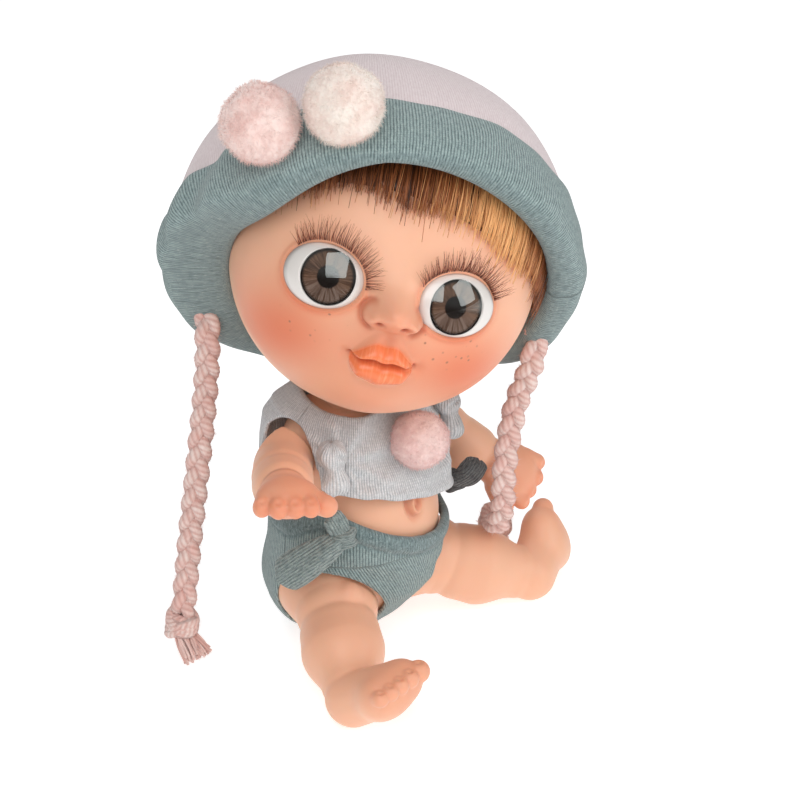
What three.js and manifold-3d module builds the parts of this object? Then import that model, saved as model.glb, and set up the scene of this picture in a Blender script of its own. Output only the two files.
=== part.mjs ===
// A seated baby doll of soft vinyl in a knitted hat, a cropped top and tied briefs.
// Millimetres. +Z is up, the doll's chest faces -Y and its right side is -X. It sits on z = 0.
// Each limb turns on a flanged plug in the body, and the head turns on a ball at the neck.
import * as THREE from "three";
import { mergeVertices } from "three/addons/utils/BufferGeometryUtils.js";
import Module from "manifold-3d";

const wasm = await Module();
wasm.setup();

// Clearances and walls
const GAP = 0.3;
const VINYL_WALL = 2;
const CLOTH = 0.9;
const RIGHT = -1;
const LEFT = 1;

// Body
const BODY_WIDTH = 35.6;
const BODY_DEPTH = 31.2;
const SHOULDER_HEIGHT = 51.8;
const SEAT_CLOTH = 1.4;
const NAVEL_HEIGHT = 33.4;
const NAVEL_WIDTH = 3.4;

// Neck
const NECK_RADIUS = 6.2;
const NECK_BALL_RADIUS = 8.6;
const NECK_LENGTH = 9;
const NECK_BALL = new THREE.Vector3(0, -1.5, SHOULDER_HEIGHT + NECK_LENGTH);

// Head
const HEAD_WIDTH = 58;
const HEAD_DEPTH = 57;
const HEAD_RISE = 31;
const HEAD_DROP = 28.2;
const HEAD_WALL = 2.2;
const HEAD_OVER_NECK = 21;
const HEAD_CENTRE = new THREE.Vector3(1.7, -7.5, NECK_BALL.z + HEAD_OVER_NECK);
const HEAD_TURN = -42;
const HEAD_LIFT = 15;
const HEAD_LEAN = 14.5;

// Face
const EYE_SPREAD = 11.9;
const EYE_HEIGHT = -1.4;
const EYE_WIDTH = 14.8;
const EYE_TALL = 12.4;
const EYE_FORWARD = 24.6;
const EYE_DEPTH = 4.4;
const IRIS_RADIUS = 4.8;
const IRIS_THICKNESS = 0.7;
const CORNEA_RISE = 1.5;
const NOSE_HEIGHT = -5;
const NOSE_WIDTH = 10.4;
const NOSE_RISE = 4.6;
const MOUTH_HEIGHT = -14.2;
const MOUTH_WIDTH = 12.6;
const LIP_RISE = 2.4;
const LASH_LENGTH = 4.4;
const LASH_COUNT = 18;
const LASH_WIDTH = 0.34;

// Hair and hat
const HAIR_THICKNESS = 2.6;
const HAIR_GAP = 0.65;
const FRINGE_LOCKS = 12;
const HAT_RADIUS = 38.2;
const HAT_TILT = -46;
const HAT_LEAN = -11;
const HAT_SHIFT = -2;
const CROWN_CLOTH = 1.2;
const CUFF_TOP = 6.7;
const CUFF_WIDTH = 12;
const CUFF_THICKNESS = 4.4;
const CUFF_SAG = 1.6;
const CUFF_RISE = 3.4;
const NAPE_LIFT = 17;
const NAPE_TUCK = 3;
const HAT_POMPOM_RADIUS = 7.3;
const HAT_POMPOM_SEAT = 1.6;
const HAT_POMPOM_STANDOFF = 2.6;

// Braided cords
const BRAID_DIAMETER = 4.6;
const KNOT_RADIUS = 4;
const TASSEL_LENGTH = 8;

// Arms, given for the left side
const ARM_INSET = 0.5;
const ARM_BELOW = 7.3;
const SHOULDER = new THREE.Vector3(BODY_WIDTH / 2 - ARM_INSET, 1, SHOULDER_HEIGHT - ARM_BELOW);
const SHOULDER_AXIS = new THREE.Vector3(0.98, -0.1, -0.165).normalize();
const ARM_DIRECTION = new THREE.Vector3(0.652, -0.726, 0.213).normalize();
const ARM_LENGTH = 28.5;
const ARM_RADIUS = 5.7;
const SHOULDER_RADIUS = 6.3;
const LEFT_ARM_DROP = 68.7;
const ARM_TRAVEL = 76;
const RIGHT_ELBOW = { inward: -0.4, back: -1.4 };
const LEFT_ELBOW = { inward: 1, back: -2.6 };

// Legs, given for the left side
const LEG_INSET = 6.8;
const HIP = new THREE.Vector3(BODY_WIDTH / 2 - LEG_INSET, -5.2, 13.7);
const HIP_AXIS = new THREE.Vector3(0.64, -0.638, -0.428).normalize();
const HIP_TO_HEEL = new THREE.Vector3(14.9, -20.9, -8.1);
const HEEL = HIP.clone().add(HIP_TO_HEEL);
const TOES_DIRECTION = new THREE.Vector3(-0.12, -0.81, 0.575).normalize();
const SOLE_DIRECTION = new THREE.Vector3(-0.08, -0.56, -0.82).normalize();
const FOOT_LENGTH = 20.4;
const TOES_WIDTH = 10.2;
const HEEL_RADIUS = 5.3;
const THIGH_RADIUS = 10.6;
const KNEE_RADIUS = 8.3;
const CALF_RADIUS = 7.7;
const LEFT_LEG_TURN = 104.6;

// Limb plugs
const PLUG_STEM_RADIUS = 2.6;
const PLUG_FLANGE_RADIUS = 3.8;
const PLUG_FLANGE_THICKNESS = 1.3;

// Clothes
const TOP_HEM = 35.4;
const BRIEFS_WAIST = 31.5;
const WAIST_DIP = 4.5;
const CHEST_POMPOM_RADIUS = 5.8;
const CHEST_POMPOM = new THREE.Vector3(1.8, -BODY_DEPTH / 2 - 1.4, SHOULDER_HEIGHT - 4.4);
const KNOT_CLOTH = 2.6;
const TIE_THICKNESS = 1.3;
const TIE_WIDTH = 5.4;

// Facets
const AROUND_HEAD = 34;
const AROUND_BODY = 26;
const AROUND_LIMB = 13;
const AROUND_BALL = 14;

const up = new THREE.Vector3(0, 0, 1);
const turn = THREE.MathUtils.degToRad;
const vec = (x, y, z) => new THREE.Vector3(x, y, z);
const smooth = THREE.MathUtils.smoothstep;
const bell = (distance, width) => Math.exp(-((distance / width) ** 2));

// Materials
const paint = (color, roughness) => new THREE.MeshStandardMaterial({ color, roughness, metalness: 0 });
const vinyl = paint(0xf0b896, 0.45);
const greyJersey = paint(0x7b8d92, 0.95);
const pinkJersey = paint(0xecdcdd, 0.95);
const paleRib = paint(0xc9cdd3, 0.95);
const yarn = paint(0xeec3c0, 0.95);
const fluff = paint(0xf4d3d0, 1);
const hairBrown = paint(0x4a2c18, 0.5);
const lashBrown = paint(0x5a2b1c, 0.6);
const eyeWhite = paint(0xe9e7e4, 0.2);
const irisBrown = paint(0x5d4a40, 0.3);
const clearPlastic = new THREE.MeshStandardMaterial({
  color: 0xffffff,
  roughness: 0.03,
  metalness: 0,
  transparent: true,
  opacity: 0.25,
});

// A solid from points and faces, turned right side out
function solidFrom(positions, faces) {
  const build = (triangles) =>
    new wasm.Manifold(
      new wasm.Mesh({
        numProp: 3,
        vertProperties: Float32Array.from(positions),
        triVerts: Uint32Array.from(triangles),
      }),
    );
  const solid = build(faces);
  if (solid.volume() > 0) return solid;
  const flipped = [];
  for (let i = 0; i < faces.length; i += 3) flipped.push(faces[i], faces[i + 2], faces[i + 1]);
  return build(flipped);
}

// A solid from a three.js geometry, moved by a matrix
function solidOf(geometry, placement = new THREE.Matrix4()) {
  const bare = geometry.clone().applyMatrix4(placement);
  bare.deleteAttribute("normal");
  bare.deleteAttribute("uv");
  const merged = mergeVertices(bare, 1e-4);
  const index = merged.index.array;
  const faces = [];
  for (let i = 0; i < index.length; i += 3) {
    const [a, b, c] = [index[i], index[i + 1], index[i + 2]];
    if (a !== b && b !== c && c !== a) faces.push(a, b, c);
  }
  return solidFrom(merged.attributes.position.array, faces);
}

// Triangles between one ring of points and the next
function bandFaces(first, second, count) {
  const faces = [];
  for (let i = 0; i < count; i += 1) {
    const j = (i + 1) % count;
    faces.push(first + i, first + j, second + j, first + i, second + j, second + i);
  }
  return faces;
}

// A closed body through rings of points, with a point at either end
function globe(start, rings, end) {
  const count = rings[0].length;
  const points = [start, ...rings.flat(), end];
  const faces = [];
  const last = 1 + (rings.length - 1) * count;
  for (let i = 0; i < count; i += 1) {
    const j = (i + 1) % count;
    faces.push(0, 1 + j, 1 + i);
    faces.push(points.length - 1, last + i, last + j);
  }
  for (let k = 0; k + 1 < rings.length; k += 1) {
    faces.push(...bandFaces(1 + k * count, 1 + (k + 1) * count, count));
  }
  return solidFrom(points.flatMap((p) => p.toArray()), faces);
}

// A closed body through rings of points that come round to the first ring again
function hoop(rings) {
  const count = rings[0].length;
  const faces = rings.flatMap((_, k) => bandFaces(k * count, ((k + 1) % rings.length) * count, count));
  return solidFrom(rings.flat().flatMap((p) => p.toArray()), faces);
}

// A ring of points from a function of the angle
const ringOf = (count, point) =>
  Array.from({ length: count }, (_, i) => point((2 * Math.PI * i) / count));

// The matrix that stands a piece made along +Y on a point, along a direction
function along(origin, direction) {
  const spin = new THREE.Quaternion().setFromUnitVectors(vec(0, 1, 0), direction.clone().normalize());
  return new THREE.Matrix4().compose(origin, spin, vec(1, 1, 1));
}

// A turned piece: pairs of radius and distance along an axis
function turned(profile, origin, direction, sides = 16) {
  const outline = profile.map(([r, s]) => new THREE.Vector2(r, s));
  return solidOf(new THREE.LatheGeometry(outline, sides), along(origin, direction));
}

// A ball, drawn out along three axes
function ball(centre, radius, sides = AROUND_BALL, stretch = vec(1, 1, 1), spin = new THREE.Quaternion()) {
  const shape = new THREE.SphereGeometry(radius, sides, Math.round(sides * 0.6));
  return solidOf(shape, new THREE.Matrix4().compose(centre, spin, stretch));
}

const joined = (solids) => solids.reduce((whole, piece) => whole.add(piece));

// A named mesh of a solid
function mesh(name, solid, material) {
  const { vertProperties, triVerts } = solid.getMesh();
  const geometry = new THREE.BufferGeometry();
  geometry.setAttribute("position", new THREE.BufferAttribute(vertProperties, 3));
  geometry.setIndex(new THREE.BufferAttribute(triVerts, 1));
  geometry.computeVertexNormals();
  const made = new THREE.Mesh(geometry, material);
  made.name = name;
  return made;
}

// Smooth values between chosen stations
function profileOf(stations) {
  const curve = new THREE.CatmullRomCurve3(stations.map((s) => vec(s[1], s[2] ?? 0, s[3] ?? 0)));
  const places = stations.map((s) => s[0]);
  return (place) => {
    let k = 0;
    while (k < places.length - 2 && places[k + 1] < place) k += 1;
    const share = THREE.MathUtils.clamp((place - places[k]) / (places[k + 1] - places[k]), 0, 1);
    return curve.getPoint((k + share) / (places.length - 1));
  };
}

// A limb lofted along a curve, with a half width and a half thickness at each station
function limb(stations, front, steps, sides = AROUND_LIMB) {
  const path = new THREE.CatmullRomCurve3(stations.map((s) => s.at));
  const size = new THREE.CatmullRomCurve3(stations.map((s) => vec(s.wide, s.thick ?? s.wide, 0)));
  const rings = [];
  for (let k = 0; k <= steps; k += 1) {
    const centre = path.getPoint(k / steps);
    const tangent = path.getTangent(k / steps);
    const ahead = front.clone().addScaledVector(tangent, -front.dot(tangent)).normalize();
    const across = ahead.clone().cross(tangent);
    const { x: wide, y: thick } = size.getPoint(k / steps);
    rings.push(
      ringOf(sides, (a) =>
        centre
          .clone()
          .addScaledVector(across, wide * Math.cos(a))
          .addScaledVector(ahead, thick * Math.sin(a)),
      ),
    );
  }
  return globe(path.getPoint(0), rings, path.getPoint(1));
}

// Body shell: half width, half depth and centre line at each height
const halfWidth = BODY_WIDTH / 2;
const halfDepth = BODY_DEPTH / 2;
const bodyAt = profileOf([
  [SEAT_CLOTH, halfWidth * 0.58, halfDepth * 0.5, 3],
  [SEAT_CLOTH + 1.3, halfWidth * 0.76, halfDepth * 0.62, 3.4],
  [SHOULDER_HEIGHT * 0.11, halfWidth * 0.9, halfDepth * 0.76, 3],
  [SHOULDER_HEIGHT * 0.18, halfWidth * 0.98, halfDepth * 0.88, 1.8],
  [SHOULDER_HEIGHT * 0.28, halfWidth, halfDepth * 0.98, 0.1],
  [SHOULDER_HEIGHT * 0.4, halfWidth * 0.98, halfDepth, -1],
  [SHOULDER_HEIGHT * 0.54, halfWidth * 0.94, halfDepth, -1.7],
  [SHOULDER_HEIGHT * 0.66, halfWidth * 0.86, halfDepth * 0.95, -1.7],
  [SHOULDER_HEIGHT * 0.77, halfWidth * 0.82, halfDepth * 0.85, -0.8],
  [SHOULDER_HEIGHT * 0.88, halfWidth * 0.84, halfDepth * 0.74, -0.2],
  [SHOULDER_HEIGHT * 0.96, halfWidth * 0.7, halfDepth * 0.6, 0],
  [SHOULDER_HEIGHT, halfWidth * 0.46, halfDepth * 0.44, -0.4],
]);

function bodyRing(height, grow, angle, heightAt = height) {
  const size = bodyAt(height);
  return vec(
    (size.x + grow) * Math.cos(angle),
    size.z + (size.y + grow) * Math.sin(angle),
    heightAt,
  );
}

// The body's form, made smaller or larger by a distance
function bodyForm(grow, bottom, top, steps, sides = AROUND_BODY) {
  const rings = [];
  for (let k = 0; k <= steps; k += 1) {
    const share = k / steps;
    const ease = 0.5 - 0.5 * Math.cos(Math.PI * share);
    const height = bottom + (top - bottom) * (0.45 * share + 0.55 * ease);
    rings.push(ringOf(sides, (a) => bodyRing(height, grow, a)));
  }
  const end = (height) => vec(0, bodyAt(height).z, height);
  return globe(end(bottom), rings, end(top));
}

// A copy of a solid on the doll's other side
const mirrorX = new THREE.Matrix4().makeScale(-1, 1, 1);
const bothSides = (solid) => [solid, moved(solid, mirrorX)];

// Where the left limbs are fixed: the seat, its axis out of the body and the root's radius
const SHOULDER_SEAT = { at: SHOULDER, axis: SHOULDER_AXIS, root: SHOULDER_RADIUS, face: -1.4 };
const HIP_SEAT = { at: HIP, axis: HIP_AXIS, root: THIGH_RADIUS, face: -1 };

// The boss behind a limb's seat, inside the body's wall
function seatBoss({ at, axis, root, face }) {
  const back = face - GAP - VINYL_WALL;
  const profile = [
    [0, back],
    [root + 1, back],
    [root + 1, face + 6],
    [0, face + 6],
  ];
  return turned(profile, at, axis, 10);
}

// The recess that a limb's root turns in, and the hole for its plug
function seatRecess({ at, axis, root, face }) {
  const floor = face - GAP;
  const hole = PLUG_STEM_RADIUS + GAP;
  const room = PLUG_FLANGE_RADIUS + GAP;
  const depth = floor - VINYL_WALL - PLUG_FLANGE_THICKNESS - 2 * GAP;
  const profile = [
    [0, depth],
    [room, depth],
    [room, floor - VINYL_WALL],
    [hole, floor - VINYL_WALL],
    [hole, floor],
    [root + GAP, floor],
    [root + GAP, floor + 14],
    [0, floor + 14],
  ];
  return turned(profile, at, axis, 20);
}

// The stem and flange that hold a limb in its hole
function plug({ at, axis, face }) {
  const inner = face - 2 * GAP - VINYL_WALL;
  const profile = [
    [0, inner - PLUG_FLANGE_THICKNESS],
    [PLUG_FLANGE_RADIUS * 0.8, inner - PLUG_FLANGE_THICKNESS],
    [PLUG_FLANGE_RADIUS, inner - PLUG_FLANGE_THICKNESS * 0.4],
    [PLUG_FLANGE_RADIUS, inner],
    [PLUG_STEM_RADIUS, inner],
    [PLUG_STEM_RADIUS, face + 2],
    [0, face + 2],
  ];
  return turned(profile, at, axis, 12);
}

// Everything on the body's side of a limb's seat face
function behindSeat({ at, axis, face }) {
  const profile = [
    [0, face - 40],
    [60, face - 40],
    [60, face],
    [0, face],
  ];
  return turned(profile, at, axis, 8);
}

// Body: a hollow shell with a neck ball, seats for four limbs and a raised navel
function makeTorso() {
  const outer = bodyForm(0, SEAT_CLOTH, SHOULDER_HEIGHT, 12);
  const hollow = bodyForm(-VINYL_WALL, SEAT_CLOTH + VINYL_WALL, SHOULDER_HEIGHT - VINYL_WALL, 5, 16);
  const seats = [SHOULDER_SEAT, HIP_SEAT];
  const bosses = joined(seats.flatMap((seat) => bothSides(seatBoss(seat)))).intersect(outer);
  const neck = turned(
    [
      [0, -2],
      [NECK_RADIUS + 1.6, -2],
      [NECK_RADIUS, 1.5],
      [NECK_RADIUS, NECK_BALL.z - SHOULDER_HEIGHT],
      [0, NECK_BALL.z - SHOULDER_HEIGHT],
    ],
    vec(NECK_BALL.x, NECK_BALL.y, SHOULDER_HEIGHT - 0.6),
    up,
    16,
  ).add(ball(NECK_BALL, NECK_BALL_RADIUS, 16));
  const front = bodyAt(NAVEL_HEIGHT);
  const navelAt = vec(0, front.z - front.y + 0.35, NAVEL_HEIGHT);
  const navel = new THREE.TorusGeometry(NAVEL_WIDTH / 2 - 0.5, 0.75, 6, 12);
  const lie = new THREE.Matrix4().makeRotationX(Math.PI / 2 - 0.08);
  const ring = solidOf(navel, new THREE.Matrix4().setPosition(navelAt).multiply(lie).scale(vec(1, 1.4, 1)));
  const shell = outer.subtract(hollow.subtract(bosses)).add(neck).add(ring);
  return shell.subtract(joined(seats.flatMap((seat) => bothSides(seatRecess(seat)))));
}

// Left foot with its toes, from the heel towards the toes
function foot() {
  const outward = TOES_DIRECTION.clone().cross(SOLE_DIRECTION).normalize();
  const at = (forward, out = 0, down = 0) =>
    HEEL.clone()
      .addScaledVector(TOES_DIRECTION, forward)
      .addScaledVector(outward, out)
      .addScaledVector(SOLE_DIRECTION, down);
  const reach = FOOT_LENGTH - HEEL_RADIUS;
  const body = limb(
    [
      { at: at(-HEEL_RADIUS + 0.3), wide: 1.6, thick: 2.2 },
      { at: at(-HEEL_RADIUS * 0.6), wide: 4.1, thick: 4.4 },
      { at: at(0), wide: HEEL_RADIUS, thick: HEEL_RADIUS },
      { at: at(reach * 0.35, 0, 0.2), wide: 4.9, thick: 5 },
      { at: at(reach * 0.62, 0, 0.9), wide: 5.1, thick: 4 },
      { at: at(reach * 0.8, 0, 1.4), wide: 5, thick: 3 },
      { at: at(reach * 0.9, 0, 1.6), wide: 3, thick: 1.6 },
    ],
    SOLE_DIRECTION,
    7,
    12,
  );
  let place = -TOES_WIDTH / 2;
  const toes = [2.5, 1.95, 1.8, 1.7, 1.55].map((radius, k) => {
    place += radius * 0.57;
    const centre = at(reach - radius + 0.9 - 0.16 * k * k, place, 0.9 + radius * 0.1);
    place += radius * 0.57;
    return ball(centre, radius, 8);
  });
  return joined([body, ...toes]);
}

// Left leg: a thigh that turns on the hip axis, a dimpled knee, a calf and a foot
function makeLeg() {
  const at = (share, forward = 0) =>
    HIP.clone().lerp(HEEL, share).addScaledVector(TOES_DIRECTION, forward);
  const shin = limb(
    [
      { at: at(0.12), wide: THIGH_RADIUS * 0.5 },
      { at: at(0.22), wide: THIGH_RADIUS * 0.78 },
      { at: at(0.36, 0.3), wide: KNEE_RADIUS * 1.04 },
      { at: at(0.5, 0.4), wide: KNEE_RADIUS * 0.94 },
      { at: at(0.57, 0), wide: CALF_RADIUS * 0.98 },
      { at: at(0.72, -0.3), wide: CALF_RADIUS },
      { at: at(0.86, -0.2), wide: CALF_RADIUS * 0.83 },
      { at: at(0.98), wide: HEEL_RADIUS * 1.02 },
      { at: at(1.04), wide: HEEL_RADIUS * 0.7 },
    ],
    TOES_DIRECTION,
    10,
  );
  const { face } = HIP_SEAT;
  const thigh = turned(
    [
      [0, face],
      [THIGH_RADIUS * 0.97, face],
      [THIGH_RADIUS, face + 1.5],
      [THIGH_RADIUS * 0.99, face + 4],
      [THIGH_RADIUS * 0.93, face + 7],
      [THIGH_RADIUS * 0.8, face + 9.5],
      [THIGH_RADIUS * 0.5, face + 11.5],
      [0, face + 12.3],
    ],
    HIP,
    HIP_AXIS,
    18,
  );
  const kneecap = ball(at(0.47, KNEE_RADIUS - 2.2), 3.4, 10);
  return joined([thigh, shin.subtract(behindSeat(HIP_SEAT)), kneecap, foot(), plug(HIP_SEAT)]);
}

// Left arm's own directions: along it, towards the doll's middle and out of the hand's back
const handBack = up.clone().addScaledVector(ARM_DIRECTION, -up.dot(ARM_DIRECTION)).normalize();
const handInward = ARM_DIRECTION.clone().cross(handBack).normalize();

// Left arm: a round shoulder, a bent elbow, a wrist and a hand with the palm down
function makeArm(elbow) {
  const at = (distance, across = 0, high = 0) => {
    const bend = Math.sin(Math.PI * THREE.MathUtils.clamp(distance / ARM_LENGTH, 0, 1)) ** 1.5;
    return SHOULDER.clone()
      .addScaledVector(ARM_DIRECTION, distance)
      .addScaledVector(handInward, across + elbow.inward * bend)
      .addScaledVector(handBack, high + elbow.back * bend);
  };
  const sleeve = limb(
    [
      { at: at(1), wide: 3.6 },
      { at: at(3), wide: ARM_RADIUS * 0.94 },
      { at: at(ARM_LENGTH * 0.26), wide: ARM_RADIUS * 1.04 },
      { at: at(ARM_LENGTH * 0.42), wide: ARM_RADIUS * 0.97 },
      { at: at(ARM_LENGTH * 0.5), wide: ARM_RADIUS * 0.93 },
      { at: at(ARM_LENGTH * 0.62), wide: ARM_RADIUS * 0.97 },
      { at: at(ARM_LENGTH * 0.76), wide: ARM_RADIUS * 0.8, thick: ARM_RADIUS * 0.72 },
      { at: at(ARM_LENGTH * 0.84), wide: 4.2, thick: 3.2 },
      { at: at(ARM_LENGTH * 0.94), wide: 5.1, thick: 3 },
      { at: at(ARM_LENGTH * 1.04, 0, -0.2), wide: 4.9, thick: 2.5 },
      { at: at(ARM_LENGTH * 1.08, 0, -0.3), wide: 2.8, thick: 1.3 },
    ],
    handBack,
    12,
    12,
  );
  const fingerSpin = new THREE.Quaternion().setFromUnitVectors(vec(0, 1, 0), ARM_DIRECTION);
  const fingers = [-3.9, -1.35, 1.25, 3.7].map((across, k) => {
    const radius = 1.8 - 0.1 * Math.abs(k - 1.5);
    const reach = ARM_LENGTH * 1.09 + (k === 0 ? -0.8 : 0.3);
    return ball(at(reach, across, -0.6), radius, 8, vec(1, 1.75, 1), fingerSpin);
  });
  const thumbRun = ARM_DIRECTION.clone().addScaledVector(handInward, 0.75).normalize();
  const thumbSpin = new THREE.Quaternion().setFromUnitVectors(vec(0, 1, 0), thumbRun);
  const thumb = ball(at(ARM_LENGTH * 0.97, 5.8, -0.8), 1.95, 8, vec(1, 1.9, 1), thumbSpin);
  const root = ball(SHOULDER, SHOULDER_RADIUS, 16);
  const solid = joined([root, sleeve, ...fingers, thumb]).subtract(behindSeat(SHOULDER_SEAT));
  return solid.add(plug(SHOULDER_SEAT));
}

// A limb's mesh, turned about its own seat by an angle; the right limb is the left one mirrored
function limbMesh(name, solid, seat, side, angle) {
  const at = vec(seat.at.x * side, seat.at.y, seat.at.z);
  const axis = vec(seat.axis.x * side, seat.axis.y, seat.axis.z);
  const pivot = new THREE.Group();
  const piece = mesh(name, side === LEFT ? solid : moved(solid, mirrorX), vinyl);
  piece.position.copy(at).negate();
  pivot.position.copy(at);
  pivot.quaternion.setFromAxisAngle(axis, turn(angle));
  pivot.add(piece);
  return pivot;
}

// Head form: the distance from the head's centre in a direction, with the face's features
function headRadius(direction) {
  const { x, y, z } = direction;
  const tall = z > 0 ? HEAD_RISE : HEAD_DROP;
  const base = 1 / Math.hypot(x / (HEAD_WIDTH / 2), y / (HEAD_DEPTH / 2), z / tall);
  const front = smooth(-y, 0.1, 0.5);
  const px = base * x;
  const pz = base * z;
  const cheeks = 1.1 * bell(Math.hypot(Math.abs(px) - 15.5, pz + 11.5), 9);
  const noseWide = NOSE_WIDTH / 2;
  const tip = NOSE_RISE * bell(Math.hypot(px, (pz - NOSE_HEIGHT) * 1.1), noseWide * 0.72);
  const wings = NOSE_RISE * 0.45 * bell(Math.hypot(Math.abs(px) - noseWide * 0.7, pz - NOSE_HEIGHT + 1.2), 2);
  const bridge = 1.1 * bell(px, 3.4) * bell(pz - NOSE_HEIGHT - 4.5, 4);
  const curve = 0.022 * px * px;
  const upperLip = LIP_RISE * bell(px, MOUTH_WIDTH * 0.42) * bell(pz - MOUTH_HEIGHT - 1.5 + curve, 1.5);
  const lowerLip = LIP_RISE * 1.05 * bell(px, MOUTH_WIDTH * 0.36) * bell(pz - MOUTH_HEIGHT + 1.9 - curve, 1.7);
  const muzzle = 1.5 * bell(px, 8) * bell(pz - MOUTH_HEIGHT, 5.5);
  const parting = 0.5 * bell(px, MOUTH_WIDTH * 0.45) * bell(pz - MOUTH_HEIGHT, 0.7);
  const chin = 1.4 * bell(px, 6.5) * bell(pz + 23, 5);
  const dips = 0.5 * bell(Math.abs(px) - MOUTH_WIDTH * 0.54, 1.6) * bell(pz - MOUTH_HEIGHT, 2);
  const swell = cheeks + tip + wings + bridge + upperLip + lowerLip + muzzle - parting + chin - dips;
  return base + front * swell;
}

const headPoint = (direction, grow = 0) => direction.clone().multiplyScalar(headRadius(direction) + grow);

// A unit vector by its angle from the face's axis and the angle round that axis
const faceTilt = turn(16);
function fromFace(angle, round) {
  const direction = vec(Math.sin(angle) * Math.cos(round), -Math.cos(angle), Math.sin(angle) * Math.sin(round));
  return direction.applyAxisAngle(vec(1, 0, 0), faceTilt);
}

// The head's rings crowd together on the face, where the features are
function headForm(grow, rings, sides) {
  const list = [];
  for (let k = 1; k < rings; k += 1) {
    const share = k / rings;
    const angle = Math.PI * (0.5 * share + 0.5 * share ** 2);
    list.push(ringOf(sides, (a) => headPoint(fromFace(angle, a), grow)));
  }
  return globe(headPoint(fromFace(0, 0), grow), list, headPoint(fromFace(Math.PI, 0), grow));
}

// Eye frames: each eye faces forward and a little outward
function eyeFrame(side) {
  const centre = vec(side * EYE_SPREAD, -EYE_FORWARD, EYE_HEIGHT);
  const out = vec(side * 0.3, -0.95, 0.06).normalize();
  return { centre, out };
}

function eyePlacement(side, depth) {
  const { centre, out } = eyeFrame(side);
  const placement = along(centre.clone().addScaledVector(out, depth), out);
  const squash = new THREE.Matrix4().makeScale(1, 1, EYE_TALL / EYE_WIDTH);
  return placement.multiply(squash);
}

function turnedEye(profile, side, sides = 20) {
  const outline = profile.map(([r, s]) => new THREE.Vector2(r, s));
  return solidOf(new THREE.LatheGeometry(outline, sides), eyePlacement(side, 0));
}

// A dome's rise at a radius
const domeRise = (radius, rim, rise) => rise * Math.sqrt(Math.max(0, 1 - (radius / rim) ** 2));

// Eye cup: a domed white shell with a flat seat for the iris
function makeEyeShell(side) {
  const rim = EYE_WIDTH / 2;
  const seat = IRIS_RADIUS + GAP;
  const steps = [0.999, 0.94, 0.82];
  const dome = steps.map((share) => [rim * share, domeRise(share, 1, 2.6) - 0.2]);
  const floor = domeRise(seat / rim, 1, 2.6) - 1.2;
  return turnedEye(
    [
      [0, -EYE_DEPTH],
      [rim * 0.7, -EYE_DEPTH],
      [rim, -EYE_DEPTH * 0.45],
      ...dome,
      [seat, domeRise(seat / rim, 1, 2.6) - 0.2],
      [seat, floor],
      [0, floor],
    ],
    side,
  );
}

const irisFloor = domeRise((IRIS_RADIUS + GAP) / (EYE_WIDTH / 2), 1, 2.6) - 1.2 + GAP;

// Iris: a coloured disc, dished towards the pupil
function makeIris(side) {
  return turnedEye(
    [
      [0, irisFloor],
      [IRIS_RADIUS, irisFloor],
      [IRIS_RADIUS, irisFloor + IRIS_THICKNESS],
      [IRIS_RADIUS * 0.45, irisFloor + IRIS_THICKNESS * 0.6],
      [0, irisFloor + IRIS_THICKNESS * 0.6],
    ],
    side,
  );
}

// Cornea: a clear domed lens over the iris
function makeCornea(side) {
  const base = irisFloor + IRIS_THICKNESS + 0.15;
  const crown = [1, 0.82, 0.55, 0].map((share) => [
    IRIS_RADIUS * share,
    base + 0.25 + domeRise(share, 1, CORNEA_RISE),
  ]);
  return turnedEye([[0, base], [IRIS_RADIUS, base], ...crown], side);
}

// The hole that an eye shell sits in, through the head's wall
function eyeSocket(side) {
  const rim = EYE_WIDTH / 2 + GAP;
  return turnedEye(
    [
      [0, -EYE_DEPTH - 6],
      [rim, -EYE_DEPTH - 6],
      [rim, 9],
      [0, 9],
    ],
    side,
    24,
  );
}

// Head: a hollow shell with sockets for the eyes and a pocket for the neck ball
function makeHead(toHead) {
  const outer = headForm(0, 21, AROUND_HEAD);
  const hollowList = [];
  for (let k = 1; k < 8; k += 1) {
    const angle = (Math.PI * k) / 8;
    hollowList.push(
      ringOf(16, (a) => {
        const direction = fromFace(angle, a);
        const wall = HEAD_WALL + 6.5 * bell(direction.distanceTo(neckInHead.clone().normalize()), 0.5);
        return direction.multiplyScalar(Math.min(headRadius(direction), HEAD_WIDTH / 2) - wall - 0.5);
      }),
    );
  }
  const deep = HEAD_DEPTH / 2 - HEAD_WALL - 0.5;
  const end = (angle) => fromFace(angle, 0).multiplyScalar(deep);
  const hollow = globe(end(0), hollowList, end(Math.PI));
  const pocketRadius = NECK_BALL_RADIUS + GAP;
  const pocket = ball(neckInHead, pocketRadius, 18);
  const collar = ball(neckInHead, pocketRadius + HEAD_WALL, 10);
  const drop = NECK_BALL.z - HEAD_CENTRE.z + HEAD_DROP + 12;
  const throatWide = NECK_RADIUS + 3 * GAP;
  const throat = turned(
    [
      [0, 0],
      [throatWide, 0],
      [throatWide, drop],
      [0, drop],
    ],
    NECK_BALL,
    up.clone().negate(),
  );
  const chimney = turned(
    [
      [0, 2],
      [NECK_RADIUS, 2],
      [NECK_RADIUS, pocketRadius + 8],
      [0, pocketRadius + 8],
    ],
    neckInHead,
    neckInHead.clone().negate(),
  );
  let shell = outer.subtract(hollow.subtract(collar.intersect(outer)));
  shell = shell.subtract(pocket).subtract(moved(throat, toHead)).subtract(chimney);
  for (const side of [RIGHT, LEFT]) {
    const cup = turnedEye(
      [
        [0, -EYE_DEPTH - 2],
        [EYE_WIDTH / 2 + 2, -EYE_DEPTH - 2],
        [EYE_WIDTH / 2 + 2, 1],
        [0, 1],
      ],
      side,
      12,
    );
    shell = shell.add(cup.intersect(outer)).subtract(eyeSocket(side));
  }
  return shell.subtract(pocket);
}

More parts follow.
